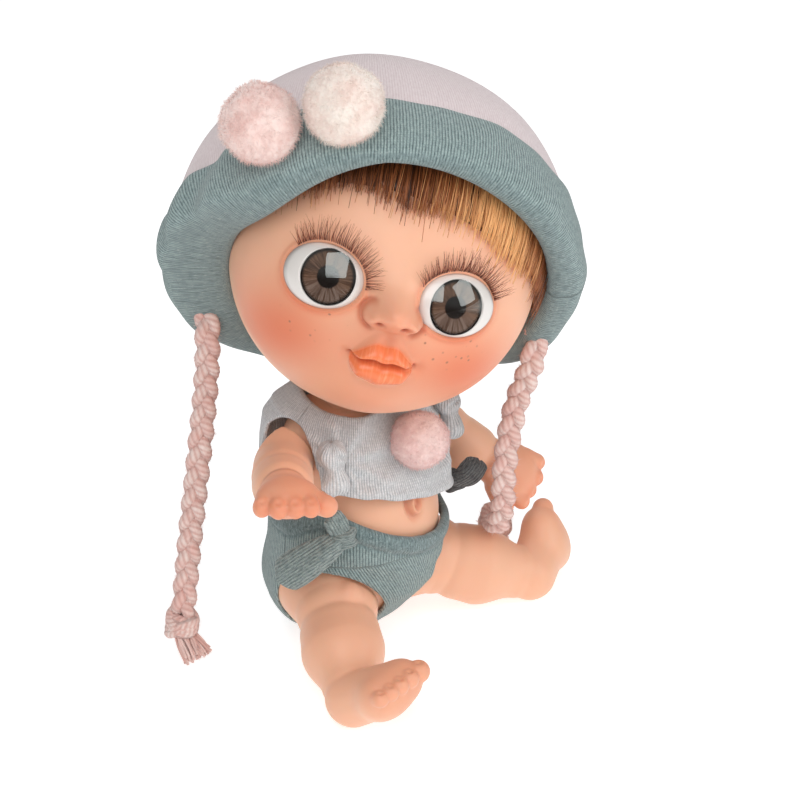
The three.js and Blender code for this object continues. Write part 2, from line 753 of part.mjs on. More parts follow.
// A solid moved by a matrix
function moved(solid, matrix) {
  const { vertProperties, triVerts } = solid.getMesh();
  const point = vec(0, 0, 0);
  const positions = Float32Array.from(vertProperties);
  for (let i = 0; i < positions.length; i += 3) {
    point.fromArray(positions, i).applyMatrix4(matrix).toArray(positions, i);
  }
  return solidFrom(positions, Array.from(triVerts));
}

// Eyelashes: a curved strip above the eye with a row of fine hairs fused to it
function makeLashes(side) {
  const { centre, out } = eyeFrame(side);
  const wide = EYE_WIDTH / 2;
  const tall = EYE_TALL / 2;
  const acrossAxis = vec(side, 0, 0).addScaledVector(out, -out.x * side).normalize();
  const upAxis = out.clone().cross(acrossAxis).normalize();
  if (upAxis.z < 0) upAxis.negate();
  const at = (angle, grow, forward) =>
    centre
      .clone()
      .addScaledVector(acrossAxis, (wide + grow) * Math.cos(angle))
      .addScaledVector(upAxis, (tall + grow) * Math.sin(angle))
      .addScaledVector(out, forward);
  const sweep = (share) => turn(16) + turn(150) * share;
  const lift = (angle) => {
    const probe = at(angle, 0.75, 0);
    return headRadius(probe.clone().normalize()) - probe.length() + 0.5;
  };
  const rings = [];
  const steps = 12;
  for (let k = 0; k <= steps; k += 1) {
    const angle = sweep(k / steps);
    const high = lift(angle);
    rings.push([
      at(angle, 0.35, high),
      at(angle, 1, high),
      at(angle, 1, high + 0.5),
      at(angle, 0.35, high + 0.5),
    ]);
  }
  const band = globe(at(sweep(0), 0.7, lift(sweep(0)) + 0.25), rings, at(sweep(1), 0.7, lift(sweep(1)) + 0.25));
  const hairs = Array.from({ length: LASH_COUNT }, (_, k) => {
    const share = (k + 0.5) / LASH_COUNT;
    const angle = sweep(share);
    const high = lift(angle) + 0.25;
    const length = LASH_LENGTH * (0.8 + 0.2 * Math.sin(Math.PI * share));
    const foot = at(angle, 0.6, high);
    const point = at(angle + 0.05, 0.6 + length, high + length * 0.75);
    const aside = at(angle + 0.05, 0.6, high).sub(foot).normalize().multiplyScalar(LASH_WIDTH / 2);
    const deep = out.clone().multiplyScalar(LASH_WIDTH * 0.8);
    const section = (p, scale) => [
      p.clone().addScaledVector(aside, scale),
      p.clone().addScaledVector(aside, -scale),
      p.clone().addScaledVector(deep, scale),
    ];
    return globe(foot.clone().addScaledVector(out, -0.1), [section(foot, 1)], point);
  });
  return joined([band, ...hairs]);
}

// Wig: a cap of hair with a cut fringe on the forehead
function makeHair() {
  const sides = FRINGE_LOCKS * 3;
  const crownAxis = vec(0, 0.55, 0.83).normalize();
  const sideAxis = vec(1, 0, 0);
  const frontAxis = crownAxis.clone().cross(sideAxis).negate();
  const direction = (angle, round) =>
    crownAxis
      .clone()
      .multiplyScalar(Math.cos(angle))
      .addScaledVector(sideAxis, Math.sin(angle) * Math.cos(round))
      .addScaledVector(frontAxis, Math.sin(angle) * Math.sin(round))
      .normalize();
  const hairline = (round) => {
    const ahead = Math.max(0, Math.sin(round));
    const nape = Math.max(0, -Math.sin(round));
    const locks = turn(3) * ahead * Math.sin((sides / 2.6) * round) ** 2;
    return turn(86) + turn(8) * ahead - turn(24) * nape ** 0.7 + locks;
  };
  const outer = [];
  const inner = [];
  const steps = 6;
  for (let k = 1; k <= steps; k += 1) {
    const share = k / steps;
    const thick = HAIR_THICKNESS * (1 - 0.55 * share ** 3);
    outer.push(ringOf(sides, (a) => headPoint(direction(hairline(a) * share, a), HAIR_GAP + thick)));
    inner.unshift(ringOf(sides, (a) => headPoint(direction(hairline(a) * share * 0.995, a), HAIR_GAP)));
  }
  return globe(headPoint(crownAxis, HAIR_GAP + HAIR_THICKNESS), [...outer, ...inner], headPoint(crownAxis, HAIR_GAP));
}

// Hat rim: how far the hat is raised at the nape, where the neck is
const napeShare = (angle) => smooth(Math.sin(angle), 0.5, 1);
const cuffTop = (angle) => CUFF_TOP + NAPE_LIFT * 0.82 * napeShare(angle);
const cuffSag = (angle) => (Math.cos(angle) > 0 ? -CUFF_SAG : CUFF_RISE) * Math.cos(angle) ** 2;
const cuffEdge = (angle) => CUFF_TOP - CUFF_WIDTH + NAPE_LIFT * napeShare(angle) + cuffSag(angle);
const hatRadiusAt = (angle, height) =>
  Math.sqrt(HAT_RADIUS ** 2 - height ** 2) - NAPE_TUCK * napeShare(angle);

const hatPoint = (angle, radius, height) => vec(radius * Math.cos(angle), radius * Math.sin(angle), height);

// Crown: a dome of jersey cloth that ends inside the top of the cuff
function makeCrown() {
  const sides = 30;
  const steps = 6;
  const ring = (share, inset) =>
    ringOf(sides, (a) => {
      const start = cuffTop(a) + 1.7 * GAP;
      const height = start + (HAT_RADIUS - start) * (1 - Math.cos((share * Math.PI) / 2));
      const lean = Math.max(0, HAT_RADIUS ** 2 - height ** 2);
      const wide = Math.sqrt(lean) - inset - NAPE_TUCK * napeShare(a) * (1 - share);
      return hatPoint(a, Math.max(wide, 0.5), height - inset * share);
    });
  const outer = Array.from({ length: steps }, (_, k) => ring(1 - (k + 1) / steps, 0));
  const inner = Array.from({ length: steps }, (_, k) => ring(k / steps, CROWN_CLOTH));
  return globe(vec(0, 0, HAT_RADIUS), [...outer, ...inner], vec(0, 0, HAT_RADIUS - CROWN_CLOTH));
}

// Cuff: a thick rolled band of ribbed jersey round the hat's opening
function makeCuff() {
  const sides = 34;
  const outline = [
    [0.3, 0],
    [1, 0.15],
    [1.3, 0.5],
    [1.1, 0.82],
    [0, 0.99],
    [-1.9, 1.02],
    [-3.7, 0.92],
    [-4.3, 0.7],
    [-3.6, 0.42],
    [-1.4, 0],
  ];
  const rings = outline.map(([out, down]) =>
    ringOf(sides, (a) => {
      const height = cuffTop(a) + (cuffEdge(a) - cuffTop(a)) * down;
      return hatPoint(a, hatRadiusAt(a, height) + out * (CUFF_THICKNESS / 4.4), height);
    }),
  );
  return hoop(rings);
}

// A pompom that rests on the hat
function hatPompom(centre) {
  const run = centre.clone().normalize();
  const rest = HAT_RADIUS + HAT_POMPOM_SEAT + GAP;
  const under = turned(
    [
      [0, rest - 12],
      [12, rest - 12],
      [12, rest],
      [0, rest],
    ],
    vec(0, 0, 0),
    run,
    8,
  );
  return ball(centre, HAT_POMPOM_RADIUS, 15).subtract(under);
}

// A rounded box outline: how far out at an angle, in place of a cosine or a sine
const boxy = (value) => Math.sign(value) * Math.abs(value) ** 0.72;

// A station of the top, wide enough to clear the body at its height
function clearOfBody(height, wide, deep, line) {
  const { x, y, z } = bodyAt(height);
  const room = CLOTH + 2 * GAP;
  return [height, Math.max(wide, x + room), Math.max(deep, y + room + Math.abs(z - line)), line];
}

// Top: a loose sleeveless shell of cloth from the neckline to the hem
function makeTop() {
  const sides = 28;
  const collar = SHOULDER_HEIGHT + 1.5;
  const chest = SHOULDER_HEIGHT - 2.9 - TOP_HEM;
  const topAt = profileOf([
    clearOfBody(TOP_HEM, halfWidth * 0.96, halfDepth * 1.05, -1.5),
    clearOfBody(TOP_HEM + chest * (4 / 13.5), halfWidth * 0.98, halfDepth * 0.98, -1),
    clearOfBody(TOP_HEM + chest * (9 / 13.5), halfWidth * 0.98, halfDepth * 0.9, 0),
    clearOfBody(TOP_HEM + chest, halfWidth * 0.93, halfDepth * 0.82, 0.8),
    [SHOULDER_HEIGHT + 0.5, halfWidth * 0.78, halfDepth * 0.7, 0.6],
    [collar, halfWidth * 0.58, halfDepth * 0.56, -0.2],
  ]);
  const steps = 6;
  const ring = (share, inset) =>
    ringOf(sides, (a) => {
      const height = TOP_HEM + (collar - TOP_HEM) * share;
      const { x, y, z } = topAt(height);
      const slope = smooth(share, 0.75, 1) * inset;
      return vec((x - inset) * boxy(Math.cos(a)), z + (y - inset) * boxy(Math.sin(a)), height - slope);
    });
  const outer = Array.from({ length: steps + 1 }, (_, k) => ring(k / steps, 0));
  const inner = Array.from({ length: steps + 1 }, (_, k) => ring(1 - k / steps, CLOTH));
  const openings = joined(bothSides(armSweep()));
  return hoop([...outer, ...inner]).subtract(openings);
}

// The room that the left arm sweeps as it is lowered, with room for its round root
function armSweep() {
  const clear = ARM_RADIUS * 1.04 + 2 * GAP + LEFT_ELBOW.inward;
  const lean = SHOULDER_AXIS.angleTo(ARM_DIRECTION);
  const inPlane = (distance, off) => [
    distance * Math.sin(lean) + off * Math.cos(lean),
    distance * Math.cos(lean) - off * Math.sin(lean),
  ];
  const section = [inPlane(3, clear), inPlane(22, clear), inPlane(22, -2), inPlane(4, -2)];
  const outward = ARM_DIRECTION.clone().addScaledVector(SHOULDER_AXIS, -Math.cos(lean)).normalize();
  const steps = 9;
  const rings = Array.from({ length: steps + 1 }, (_, k) => {
    const angle = turn(-34 + (ARM_TRAVEL + 88) * (k / steps));
    const arm = outward.clone().applyAxisAngle(SHOULDER_AXIS, angle);
    return section.map(([radius, rise]) =>
      SHOULDER.clone().addScaledVector(arm, radius).addScaledVector(SHOULDER_AXIS, rise),
    );
  });
  const middle = (ring) => ring.reduce((sum, p) => sum.add(p), vec(0, 0, 0)).divideScalar(ring.length);
  const wedge = globe(middle(rings[0]), rings, middle(rings.at(-1)));
  return wedge.add(ball(SHOULDER, SHOULDER_RADIUS + 2.5 * GAP, 16));
}

// Briefs: a cloth shell round the hips, flat underneath, with two leg openings
function makeBriefs() {
  const steps = 8;
  const waist = (a) => BRIEFS_WAIST - WAIST_DIP * Math.max(0, -Math.sin(a)) ** 1.5;
  const sinkBelow = (height, drop) =>
    Math.max(0, height - drop * (1 - smooth(height, SEAT_CLOTH, SEAT_CLOTH + 5)));
  const ring = (share, grow, drop) =>
    ringOf(AROUND_BODY, (a) => {
      const height = SEAT_CLOTH + (waist(a) - SEAT_CLOTH) * share ** 1.3;
      return bodyRing(height, grow, a, sinkBelow(height, drop));
    });
  const outer = Array.from({ length: steps + 1 }, (_, k) => ring(k / steps, GAP + CLOTH, SEAT_CLOTH));
  const inner = Array.from({ length: steps + 1 }, (_, k) => ring(1 - k / steps, GAP, GAP));
  const centreLine = bodyAt(SEAT_CLOTH).z;
  const shell = globe(vec(0, centreLine, 0), [...outer, ...inner], vec(0, centreLine, SEAT_CLOTH - GAP));
  const { at, axis, root, face } = HIP_SEAT;
  const clear = root + 2 * GAP;
  const opening = turned(
    [
      [0, face - 1],
      [clear, face - 1],
      [clear, face + 18],
      [0, face + 18],
    ],
    at,
    axis,
    24,
  );
  return shell.subtract(joined(bothSides(opening)));
}

// A flat strip of cloth along a curve, as in a tied tail
function strip(points, width, thickness, face) {
  const stations = points.map((at, k) => ({
    at,
    wide: (width / 2) * (k === 0 || k === points.length - 1 ? 0.7 : 1),
    thick: thickness / 2,
  }));
  return limb(stations, face, 6, 8);
}

// A knot of cloth with its tails; each tail is its points, its width and the way its flat faces
function clothKnot(centre, radius, tails) {
  const knot = ball(centre, radius, 10, vec(1, 0.86, 0.9));
  return joined([knot, ...tails.map(({ points, width, face }) => strip([centre, ...points], width, TIE_THICKNESS, face))]);
}

// Chest pompom, cut flat where it lies on the cloth
function makeChestPompom() {
  const front = -halfDepth * 0.9 - 1.2;
  const behind = turned(
    [
      [0, 0],
      [12, 0],
      [12, 12],
      [0, 12],
    ],
    vec(CHEST_POMPOM.x, front, CHEST_POMPOM.z),
    vec(0, 1, 0),
    8,
  );
  return ball(CHEST_POMPOM, CHEST_POMPOM_RADIUS, 16).subtract(behind);
}

// The knots that gather the top's sides and tie the briefs at the hips
function knotsOfCloth() {
  const onChest = (side, inset, back, drop) =>
    vec(side * (halfWidth - inset), back - halfDepth, SHOULDER_HEIGHT - drop);
  const gather = (side) => {
    const bulb = onChest(side, 2.5, 4, 3.6);
    const frill = onChest(side, 2.9, 1.6, 8.8);
    return [
      ball(bulb, KNOT_CLOTH, 9),
      ball(frill, KNOT_CLOTH * 0.85, 9),
      strip([bulb, onChest(side, 2.5, 2.6, 6), frill], 2.4, 1.6, vec(0, -1, 0)),
    ];
  };
  const hip = (side) => vec(side * (halfWidth - 2.2), 2.2 - halfDepth, BRIEFS_WAIST + 0.1);
  const from = (start, steps) => steps.map(([x, y, z]) => start.clone().add(vec(x, y, z)));
  const hanging = {
    points: from(hip(RIGHT), [[-4.2, 1.4, -2], [-7.2, 4.8, -5.4], [-9, 8.4, -9]]),
    width: TIE_WIDTH,
    face: vec(-0.7, -0.6, 0.3),
  };
  const looped = {
    points: from(hip(RIGHT), [[-1.4, 0.6, 2.4], [-2.2, 1.4, 4.8]]),
    width: TIE_WIDTH * (2 / 3),
    face: vec(0, -1, 0.2),
  };
  const rising = {
    points: from(hip(LEFT), [[1.2, -2.6, 2], [2.2, -4.2, 4.8]]),
    width: TIE_WIDTH - 0.4,
    face: vec(-0.6, -0.7, 0.3),
  };
  return [
    ["top_knot_right", joined(gather(RIGHT)), paleRib],
    ["top_knot_left", joined(gather(LEFT)), paleRib],
    ["briefs_tie_right", clothKnot(hip(RIGHT), KNOT_CLOTH, [hanging, looped]), greyJersey],
    ["briefs_tie_left", clothKnot(hip(LEFT), KNOT_CLOTH, [rising]), greyJersey],
  ];
}

// Braids: hand-chosen routes from under the cuff to the knots
const braidRoutes = {
  right: [
    vec(-20.2, 18.3, 66.7),
    vec(-20.9, 17.9, 60),
    vec(-21.9, 18, 52),
    vec(-23.4, 18.1, 43),
    vec(-25.2, 18, 34),
    vec(-27.2, 17.7, 25),
    vec(-29.2, 17.2, 16),
    vec(-30.6, 16.8, 9.8),
  ],
  left: [
    vec(22.9, -27.2, 61.9),
    vec(22.6, -26, 57),
    vec(22, -24, 50.8),
    vec(20.9, -23.2, 43.8),
    vec(19.8, -23, 35.6),
    vec(20.2, -22.5, 28.2),
    vec(22, -19.6, 21.5),
    vec(26.4, -14.4, 18.8),
    vec(31, -10.4, 17),
    vec(34.6, -7.6, 12.6),
  ],
};

function makeBraid(route) {
  const path = new THREE.CatmullRomCurve3(route);
  const section = new THREE.Shape(
    Array.from({ length: 8 }, (_, k) => {
      const angle = (2 * Math.PI * k) / 8;
      return new THREE.Vector2(Math.cos(angle), Math.sin(angle)).multiplyScalar(BRAID_DIAMETER / 2);
    }),
  );
  const steps = Math.round(path.getLength() / (BRAID_DIAMETER * 0.8));
  return solidOf(new THREE.ExtrudeGeometry(section, { steps, extrudePath: path, bevelEnabled: false }));
}

// The knot at a braid's end, with a short tassel that rests on the floor
function makeBraidKnot(route) {
  const end = route.at(-1);
  const run = end.clone().sub(route.at(-2)).normalize();
  const centre = end.clone().addScaledVector(run, KNOT_RADIUS * 0.9 + GAP);
  const knot = ball(centre, KNOT_RADIUS, 12, vec(1.1, 1, 0.8));
  const face = [
    [0, -KNOT_RADIUS * 2],
    [KNOT_RADIUS * 1.4, -KNOT_RADIUS * 2],
    [KNOT_RADIUS * 1.4, 0],
    [0, 0],
  ];
  const cut = turned(face, end.clone().addScaledVector(run, GAP), run, 12);
  const away = vec(run.x, run.y, 0).normalize();
  const side = away.clone().cross(up);
  const strands = [-0.5, 0.2, 0.9].map((lean) => {
    const tip = centre.clone().addScaledVector(away, TASSEL_LENGTH * 0.55).addScaledVector(side, lean * 4);
    tip.z = 1.1;
    const mid = centre.clone().lerp(tip, 0.5);
    mid.z = Math.max(1.4, mid.z - 0.3);
    return limb(
      [
        { at: centre, wide: 1.2 },
        { at: mid, wide: 1.3 },
        { at: tip, wide: 0.9 },
      ],
      side,
      3,
      6,
    );
  });
  return joined([knot, ...strands]).subtract(cut);
}

// Head group: everything that turns with the head
const headGroup = new THREE.Group();
headGroup.position.copy(HEAD_CENTRE);
const headSpin = new THREE.Quaternion()
  .setFromAxisAngle(up, turn(HEAD_TURN))
  .multiply(new THREE.Quaternion().setFromAxisAngle(vec(1, 0, 0), turn(-HEAD_LIFT)))
  .multiply(new THREE.Quaternion().setFromAxisAngle(vec(0, 1, 0), turn(HEAD_LEAN)));
headGroup.quaternion.copy(headSpin);
headGroup.updateMatrixWorld(true);
const toHead = headGroup.matrixWorld.clone().invert();
const neckInHead = NECK_BALL.clone().applyMatrix4(toHead);

const hatGroup = new THREE.Group();
hatGroup.rotation.set(turn(HAT_TILT), turn(HAT_LEAN), 0, "YXZ");
hatGroup.position.set(HAT_SHIFT, 0, 0);
headGroup.add(hatGroup);
headGroup.updateMatrixWorld(true);

headGroup.add(mesh("head", makeHead(toHead), vinyl));
for (const [label, side] of [["right", RIGHT], ["left", LEFT]]) {
  headGroup.add(mesh("eye_shell_" + label, makeEyeShell(side), eyeWhite));
  headGroup.add(mesh("iris_" + label, makeIris(side), irisBrown));
  headGroup.add(mesh("cornea_" + label, makeCornea(side), clearPlastic));
  headGroup.add(mesh("lashes_" + label, makeLashes(side), lashBrown));
}
headGroup.add(mesh("hair", makeHair(), hairBrown));

const crown = makeCrown();
const cuff = makeCuff();
hatGroup.add(mesh("hat_crown", crown, pinkJersey));
hatGroup.add(mesh("hat_cuff", cuff, greyJersey));
const pompomReach = HAT_RADIUS + HAT_POMPOM_STANDOFF + HAT_POMPOM_RADIUS * 0.62;
const pompomAt = (round, rise) =>
  vec(Math.cos(rise) * Math.cos(round), Math.cos(rise) * Math.sin(round), Math.sin(rise)).multiplyScalar(
    pompomReach,
  );
hatGroup.add(mesh("hat_pompom_right", hatPompom(pompomAt(turn(-119.6), turn(-1.8))), fluff));
hatGroup.add(mesh("hat_pompom_left", hatPompom(pompomAt(turn(-100.2), turn(-1))), fluff));

// Torso, limbs and clothes
const doll = new THREE.Group();
doll.add(mesh("torso", makeTorso(), vinyl));
const leg = makeLeg();
doll.add(limbMesh("arm_right", makeArm(RIGHT_ELBOW), SHOULDER_SEAT, RIGHT, 0));
doll.add(limbMesh("arm_left", makeArm(LEFT_ELBOW), SHOULDER_SEAT, LEFT, LEFT_ARM_DROP));
doll.add(limbMesh("leg_right", leg, HIP_SEAT, RIGHT, 0));
doll.add(limbMesh("leg_left", leg, HIP_SEAT, LEFT, -LEFT_LEG_TURN));
doll.add(mesh("top", makeTop(), paleRib));
doll.add(mesh("briefs", makeBriefs(), greyJersey));
doll.add(mesh("chest_pompom", makeChestPompom(), fluff));
for (const [name, knot, cloth] of knotsOfCloth()) doll.add(mesh(name, knot, cloth));
for (const [label, route] of Object.entries(braidRoutes)) {
  doll.add(mesh("braid_" + label, makeBraid(route), yarn));
  doll.add(mesh("braid_knot_" + label, makeBraidKnot(route), yarn));
}
doll.add(headGroup);

export default doll;
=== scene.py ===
"""The looks of a seated vinyl baby doll in a knitted hat, a cropped top and tied briefs.

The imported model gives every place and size. Lengths are worked in millimetres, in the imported
model's frame, and become metres when a mesh is made. The doll's chest faces -Y, its right is -X.
"""

import logging
from dataclasses import dataclass, field
from enum import Enum
from typing import Sequence, Union

import bpy
import numpy as np
import openvdb
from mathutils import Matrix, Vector


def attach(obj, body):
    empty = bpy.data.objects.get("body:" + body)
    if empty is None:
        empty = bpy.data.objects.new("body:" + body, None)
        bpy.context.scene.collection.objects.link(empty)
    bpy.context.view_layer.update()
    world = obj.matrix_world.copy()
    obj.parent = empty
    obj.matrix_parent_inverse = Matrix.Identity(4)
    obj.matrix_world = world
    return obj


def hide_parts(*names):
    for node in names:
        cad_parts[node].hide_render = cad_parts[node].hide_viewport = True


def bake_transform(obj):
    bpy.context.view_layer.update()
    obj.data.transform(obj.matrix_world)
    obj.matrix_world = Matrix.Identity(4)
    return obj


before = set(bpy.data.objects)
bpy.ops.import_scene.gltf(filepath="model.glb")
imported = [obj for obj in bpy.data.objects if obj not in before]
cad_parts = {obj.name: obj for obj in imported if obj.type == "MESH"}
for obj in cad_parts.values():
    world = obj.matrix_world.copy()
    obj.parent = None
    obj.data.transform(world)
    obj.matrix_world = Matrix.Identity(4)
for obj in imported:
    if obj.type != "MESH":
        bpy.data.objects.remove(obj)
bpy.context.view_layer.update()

LOG = logging.getLogger("doll")
MM = 0.001
Array = np.ndarray


class Side(Enum):
    """The doll's own right or left."""

    RIGHT = -1
    LEFT = 1

    @property
    def label(self) -> str:
        """The ending of a piece's name."""
        return self.name.lower()


# Plain geometry


def vec(*numbers: float) -> Array:
    """A vector of floats."""
    return np.array(numbers, dtype=float)


def unit(vector: Array) -> Array:
    """The vector at length 1."""
    return vector / np.linalg.norm(vector)


def ease(value: Array, low: float, high: float) -> Array:
    """0 below low, 1 above high and a smooth step between."""
    share = np.clip((value - low) / (high - low), 0, 1)
    return share * share * (3 - 2 * share)


def bell(distance: Array, width: float) -> Array:
    """A bell curve that is 1 at distance 0."""
    return np.exp(-((distance / width) ** 2))


def about(axis: Array, degrees: float) -> Array:
    """The 3 by 3 matrix of a turn about an axis by the right-hand rule.

    Args:
        axis: The axis through the origin.
        degrees: The angle.

    Returns:
        The matrix.
    """
    x, y, z = unit(axis)
    angle = np.radians(degrees)
    cross = np.array([[0, -z, y], [z, 0, -x], [-y, x, 0]])
    return np.eye(3) + np.sin(angle) * cross + (1 - np.cos(angle)) * cross @ cross


def circle(count: int) -> Array:
    """Angles evenly round a circle, from 0."""
    return np.linspace(0, 2 * np.pi, count, endpoint=False)


def stacked(*parts: Union[Array, float]) -> Array:
    """Arrays and numbers of matching shapes as one array, side by side along a last axis."""
    return np.stack(np.broadcast_arrays(*parts), axis=-1)


def units(rows: Array) -> Array:
    """Rows of vectors, each at length 1."""
    return rows / np.linalg.norm(rows, axis=1)[:, None]


def with_ends(rows: Array) -> Array:
    """Rows of values with one more at either end, straight on."""
    return np.concatenate([[2 * rows[0] - rows[1]], rows, [2 * rows[-1] - rows[-2]]])


def spline(four: Sequence[Array], t: Array) -> Array:
    """A smooth curve's values between the second and the third of four knots, for t from 0 to 1."""
    p0, p1, p2, p3 = four
    return 0.5 * (2 * p1 + (p2 - p0) * t + (2 * p0 - 5 * p1 + 4 * p2 - p3) * t**2 + (3 * p1 - p0 - 3 * p2 + p3) * t**3)


def smooth_path(points: Sequence[Array], count: int) -> Array:
    """Points spaced evenly along a smooth curve through the given ones.

    Args:
        points: The points to pass through.
        count: How many points to give.

    Returns:
        The points, one a row.
    """
    given = np.array(points, dtype=float)
    knots = with_ends(given)
    t = np.linspace(0, 1, 24, endpoint=False)[:, None]
    fine = np.concatenate([*(spline(knots[k : k + 4], t) for k in range(len(given) - 1)), given[-1:]])
    run = np.concatenate([[0], np.cumsum(np.linalg.norm(np.diff(fine, axis=0), axis=1))])
    places = np.linspace(0, run[-1], count)
    return np.stack([np.interp(places, run, fine[:, k]) for k in range(3)], axis=1)


def curve_values(rows: Array, share: Array) -> Array:
    """Values on a smooth curve through rows, at shares of the way along them.

    Args:
        rows: One row of values at each station.
        share: Places from 0 at the first station to 1 at the last.

    Returns:
        One array for each value.
    """
    padded = with_ends(rows)
    place = np.clip(np.asarray(share, dtype=float), 0, 1) * (len(rows) - 1)
    k = np.minimum(place.astype(int), len(rows) - 2)
    value = spline([padded[k + n] for n in range(4)], (place - k)[..., None])
    return np.moveaxis(value, -1, 0)


def length_of(path: Array) -> float:
    """The length of a line of points."""
    return float(np.linalg.norm(np.diff(path, axis=0), axis=1).sum())


@dataclass(frozen=True)
class Place:
    """A frame of its own for a sub-assembly: an origin and a turn."""

    origin: Array
    turn: Array

    def out(self, points: Array) -> Array:
        """Points of this frame in the doll's frame."""
        return points @ self.turn.T + self.origin

    def within(self, points: Array) -> Array:
        """Points of the doll's frame in this frame."""
        return (points - self.origin) @ self.turn


# Meshes


@dataclass
class Shape:
    """Points, faces and what each point carries for its material."""

    points: Array
    faces: Array
    marks: dict[str, Array] = field(default_factory=dict)

    def moved(self, place: Place) -> "Shape":
        """The same shape, from a frame of its own to the doll's."""
        return Shape(place.out(self.points), self.faces, self.marks)

    def turned(self, centre: Array, turn: Array) -> "Shape":
        """The same shape, turned about a point by a matrix."""
        return Shape((self.points - centre) @ turn.T + centre, self.faces, self.marks)

    def mirrored(self) -> "Shape":
        """The same shape on the doll's other side."""
        return Shape(self.points * vec(-1, 1, 1), self.faces[:, ::-1], self.marks)

    def make(self, name: str) -> bpy.types.Object:
        """A Blender object of the shape.

        Args:
            name: The object's name.

        Returns:
            The object, smooth shaded, with the marks as attributes.
        """
        mesh = bpy.data.meshes.new(name)
        count, corners = self.faces.shape
        mesh.vertices.add(len(self.points))
        mesh.vertices.foreach_set("co", (self.points * MM).astype(np.float32).ravel())
        mesh.loops.add(count * corners)
        mesh.loops.foreach_set("vertex_index", self.faces.astype(np.int32).ravel())
        mesh.polygons.add(count)
        mesh.polygons.foreach_set("loop_start", np.arange(0, count * corners, corners, dtype=np.int32))
        mesh.update(calc_edges=True)
        mesh.validate()
        mesh.shade_smooth()
        for mark, values in self.marks.items():
            wide = values.ndim == 2
            kind = "FLOAT_VECTOR" if wide else "FLOAT"
            layer = mesh.attributes.new(mark, kind, "POINT")
            layer.data.foreach_set("vector" if wide else "value", values.astype(np.float32).ravel())
        made = bpy.data.objects.new(name, mesh)
        bpy.context.scene.collection.objects.link(made)
        return made


def joined(shapes: Sequence[Shape]) -> Shape:
    """Several shapes with the same marks as one.

    Args:
        shapes: The shapes; all have faces of as many corners.

    Returns:
        One shape.
    """
    starts = np.cumsum([0] + [len(s.points) for s in shapes[:-1]])
    return Shape(
        np.concatenate([s.points for s in shapes]),
        np.concatenate([s.faces + start for s, start in zip(shapes, starts)]),
        {mark: np.concatenate([s.marks[mark] for s in shapes]) for mark in shapes[0].marks},
    )


def grid_faces(rows: int, columns: int, loop: bool = False) -> Array:
    """Quads over rows of points, each row closed on itself.

    Args:
        rows: How many rows.
        columns: How many points in a row.
        loop: Whether the last row joins the first.

    Returns:
        The quads, one a row.
    """
    i = np.arange(rows if loop else rows - 1)[:, None]
    j = np.arange(columns)[None, :]
    here = i * columns + j
    beside = i * columns + (j + 1) % columns
    over = ((i + 1) % rows) * columns
    return np.stack([here, beside, over + (j + 1) % columns, over + j], axis=-1).reshape(-1, 4)


def outward(shape: Shape) -> Shape:
    """A closed shape with its faces turned outward.

    Args:
        shape: The shape.

    Returns:
        The shape, facing out.
    """
    a, b, c = (shape.points[shape.faces[:, k]] for k in range(3))
    volume = np.einsum("ij,ij->i", a, np.cross(b, c)).sum()
    if shape.faces.shape[1] == 4:
        d = shape.points[shape.faces[:, 3]]
        volume += np.einsum("ij,ij->i", a, np.cross(c, d)).sum()
    return shape if volume > 0 else Shape(shape.points, shape.faces[:, ::-1], shape.marks)


def globe(rings: Array, **marks: Array) -> Shape:
    """A closed shape through rings of points, drawn together at either end.

    Args:
        rings: Points as (rows, columns, 3).
        marks: What each point of the rings carries, as (rows, columns) or (rows, columns, n).

    Returns:
        The shape, facing out.
    """
    ends = [np.broadcast_to(rings[k].mean(axis=0), rings[k].shape)[None] for k in (0, -1)]
    whole = np.concatenate([ends[0], rings, ends[1]])
    rows, columns, _ = whole.shape
    carried = {}
    for mark, values in marks.items():
        padded = np.concatenate([values[:1], values, values[-1:]])
        carried[mark] = padded.reshape(rows * columns, *padded.shape[2:])
    return outward(Shape(whole.reshape(-1, 3), grid_faces(rows, columns), carried))


def hoop(rings: Array, **marks: Array) -> Shape:
    """A closed band through rings of points that come round to the first ring.

    Args:
        rings: Points as (rows, columns, 3).
        marks: What each point carries, as (rows, columns) or (rows, columns, n).

    Returns:
        The shape, facing out.
    """
    rows, columns, _ = rings.shape
    carried = {mark: values.reshape(rows * columns, *values.shape[2:]) for mark, values in marks.items()}
    return outward(Shape(rings.reshape(-1, 3), grid_faces(rows, columns, loop=True), carried))


def tube(path: Array, radius: Union[float, Array], sides: int, start: Array | None = None) -> tuple[Array, Array]:
    """Rings of points round a path, turned as little as they can be.

    Args:
        path: The centreline.
        radius: One radius, or one for each point, or one for each point and side.
        sides: Points in a ring.
        start: The direction of the first point of each ring, where it matters.

    Returns:
        The rings as (points, sides, 3) and each ring's two axes as (points, 2, 3).
    """
    tangent = units(np.gradient(path, axis=0))
    side = start if start is not None else np.cross(tangent[0], vec(0.31, 0.17, 0.93))
    axes = np.empty((len(path), 2, 3))
    for k, run in enumerate(tangent):
        side = unit(side - run * (side @ run))
        axes[k] = side, np.cross(run, side)
    angle = circle(sides)
    own = radius if np.ndim(radius) == 2 else np.asarray(radius, dtype=float).reshape(-1, 1)
    wide = np.broadcast_to(own, (len(path), sides))
    ring = np.cos(angle)[None, :, None] * axes[:, None, 0] + np.sin(angle)[None, :, None] * axes[:, None, 1]
    return path[:, None] + ring * wide[..., None], axes


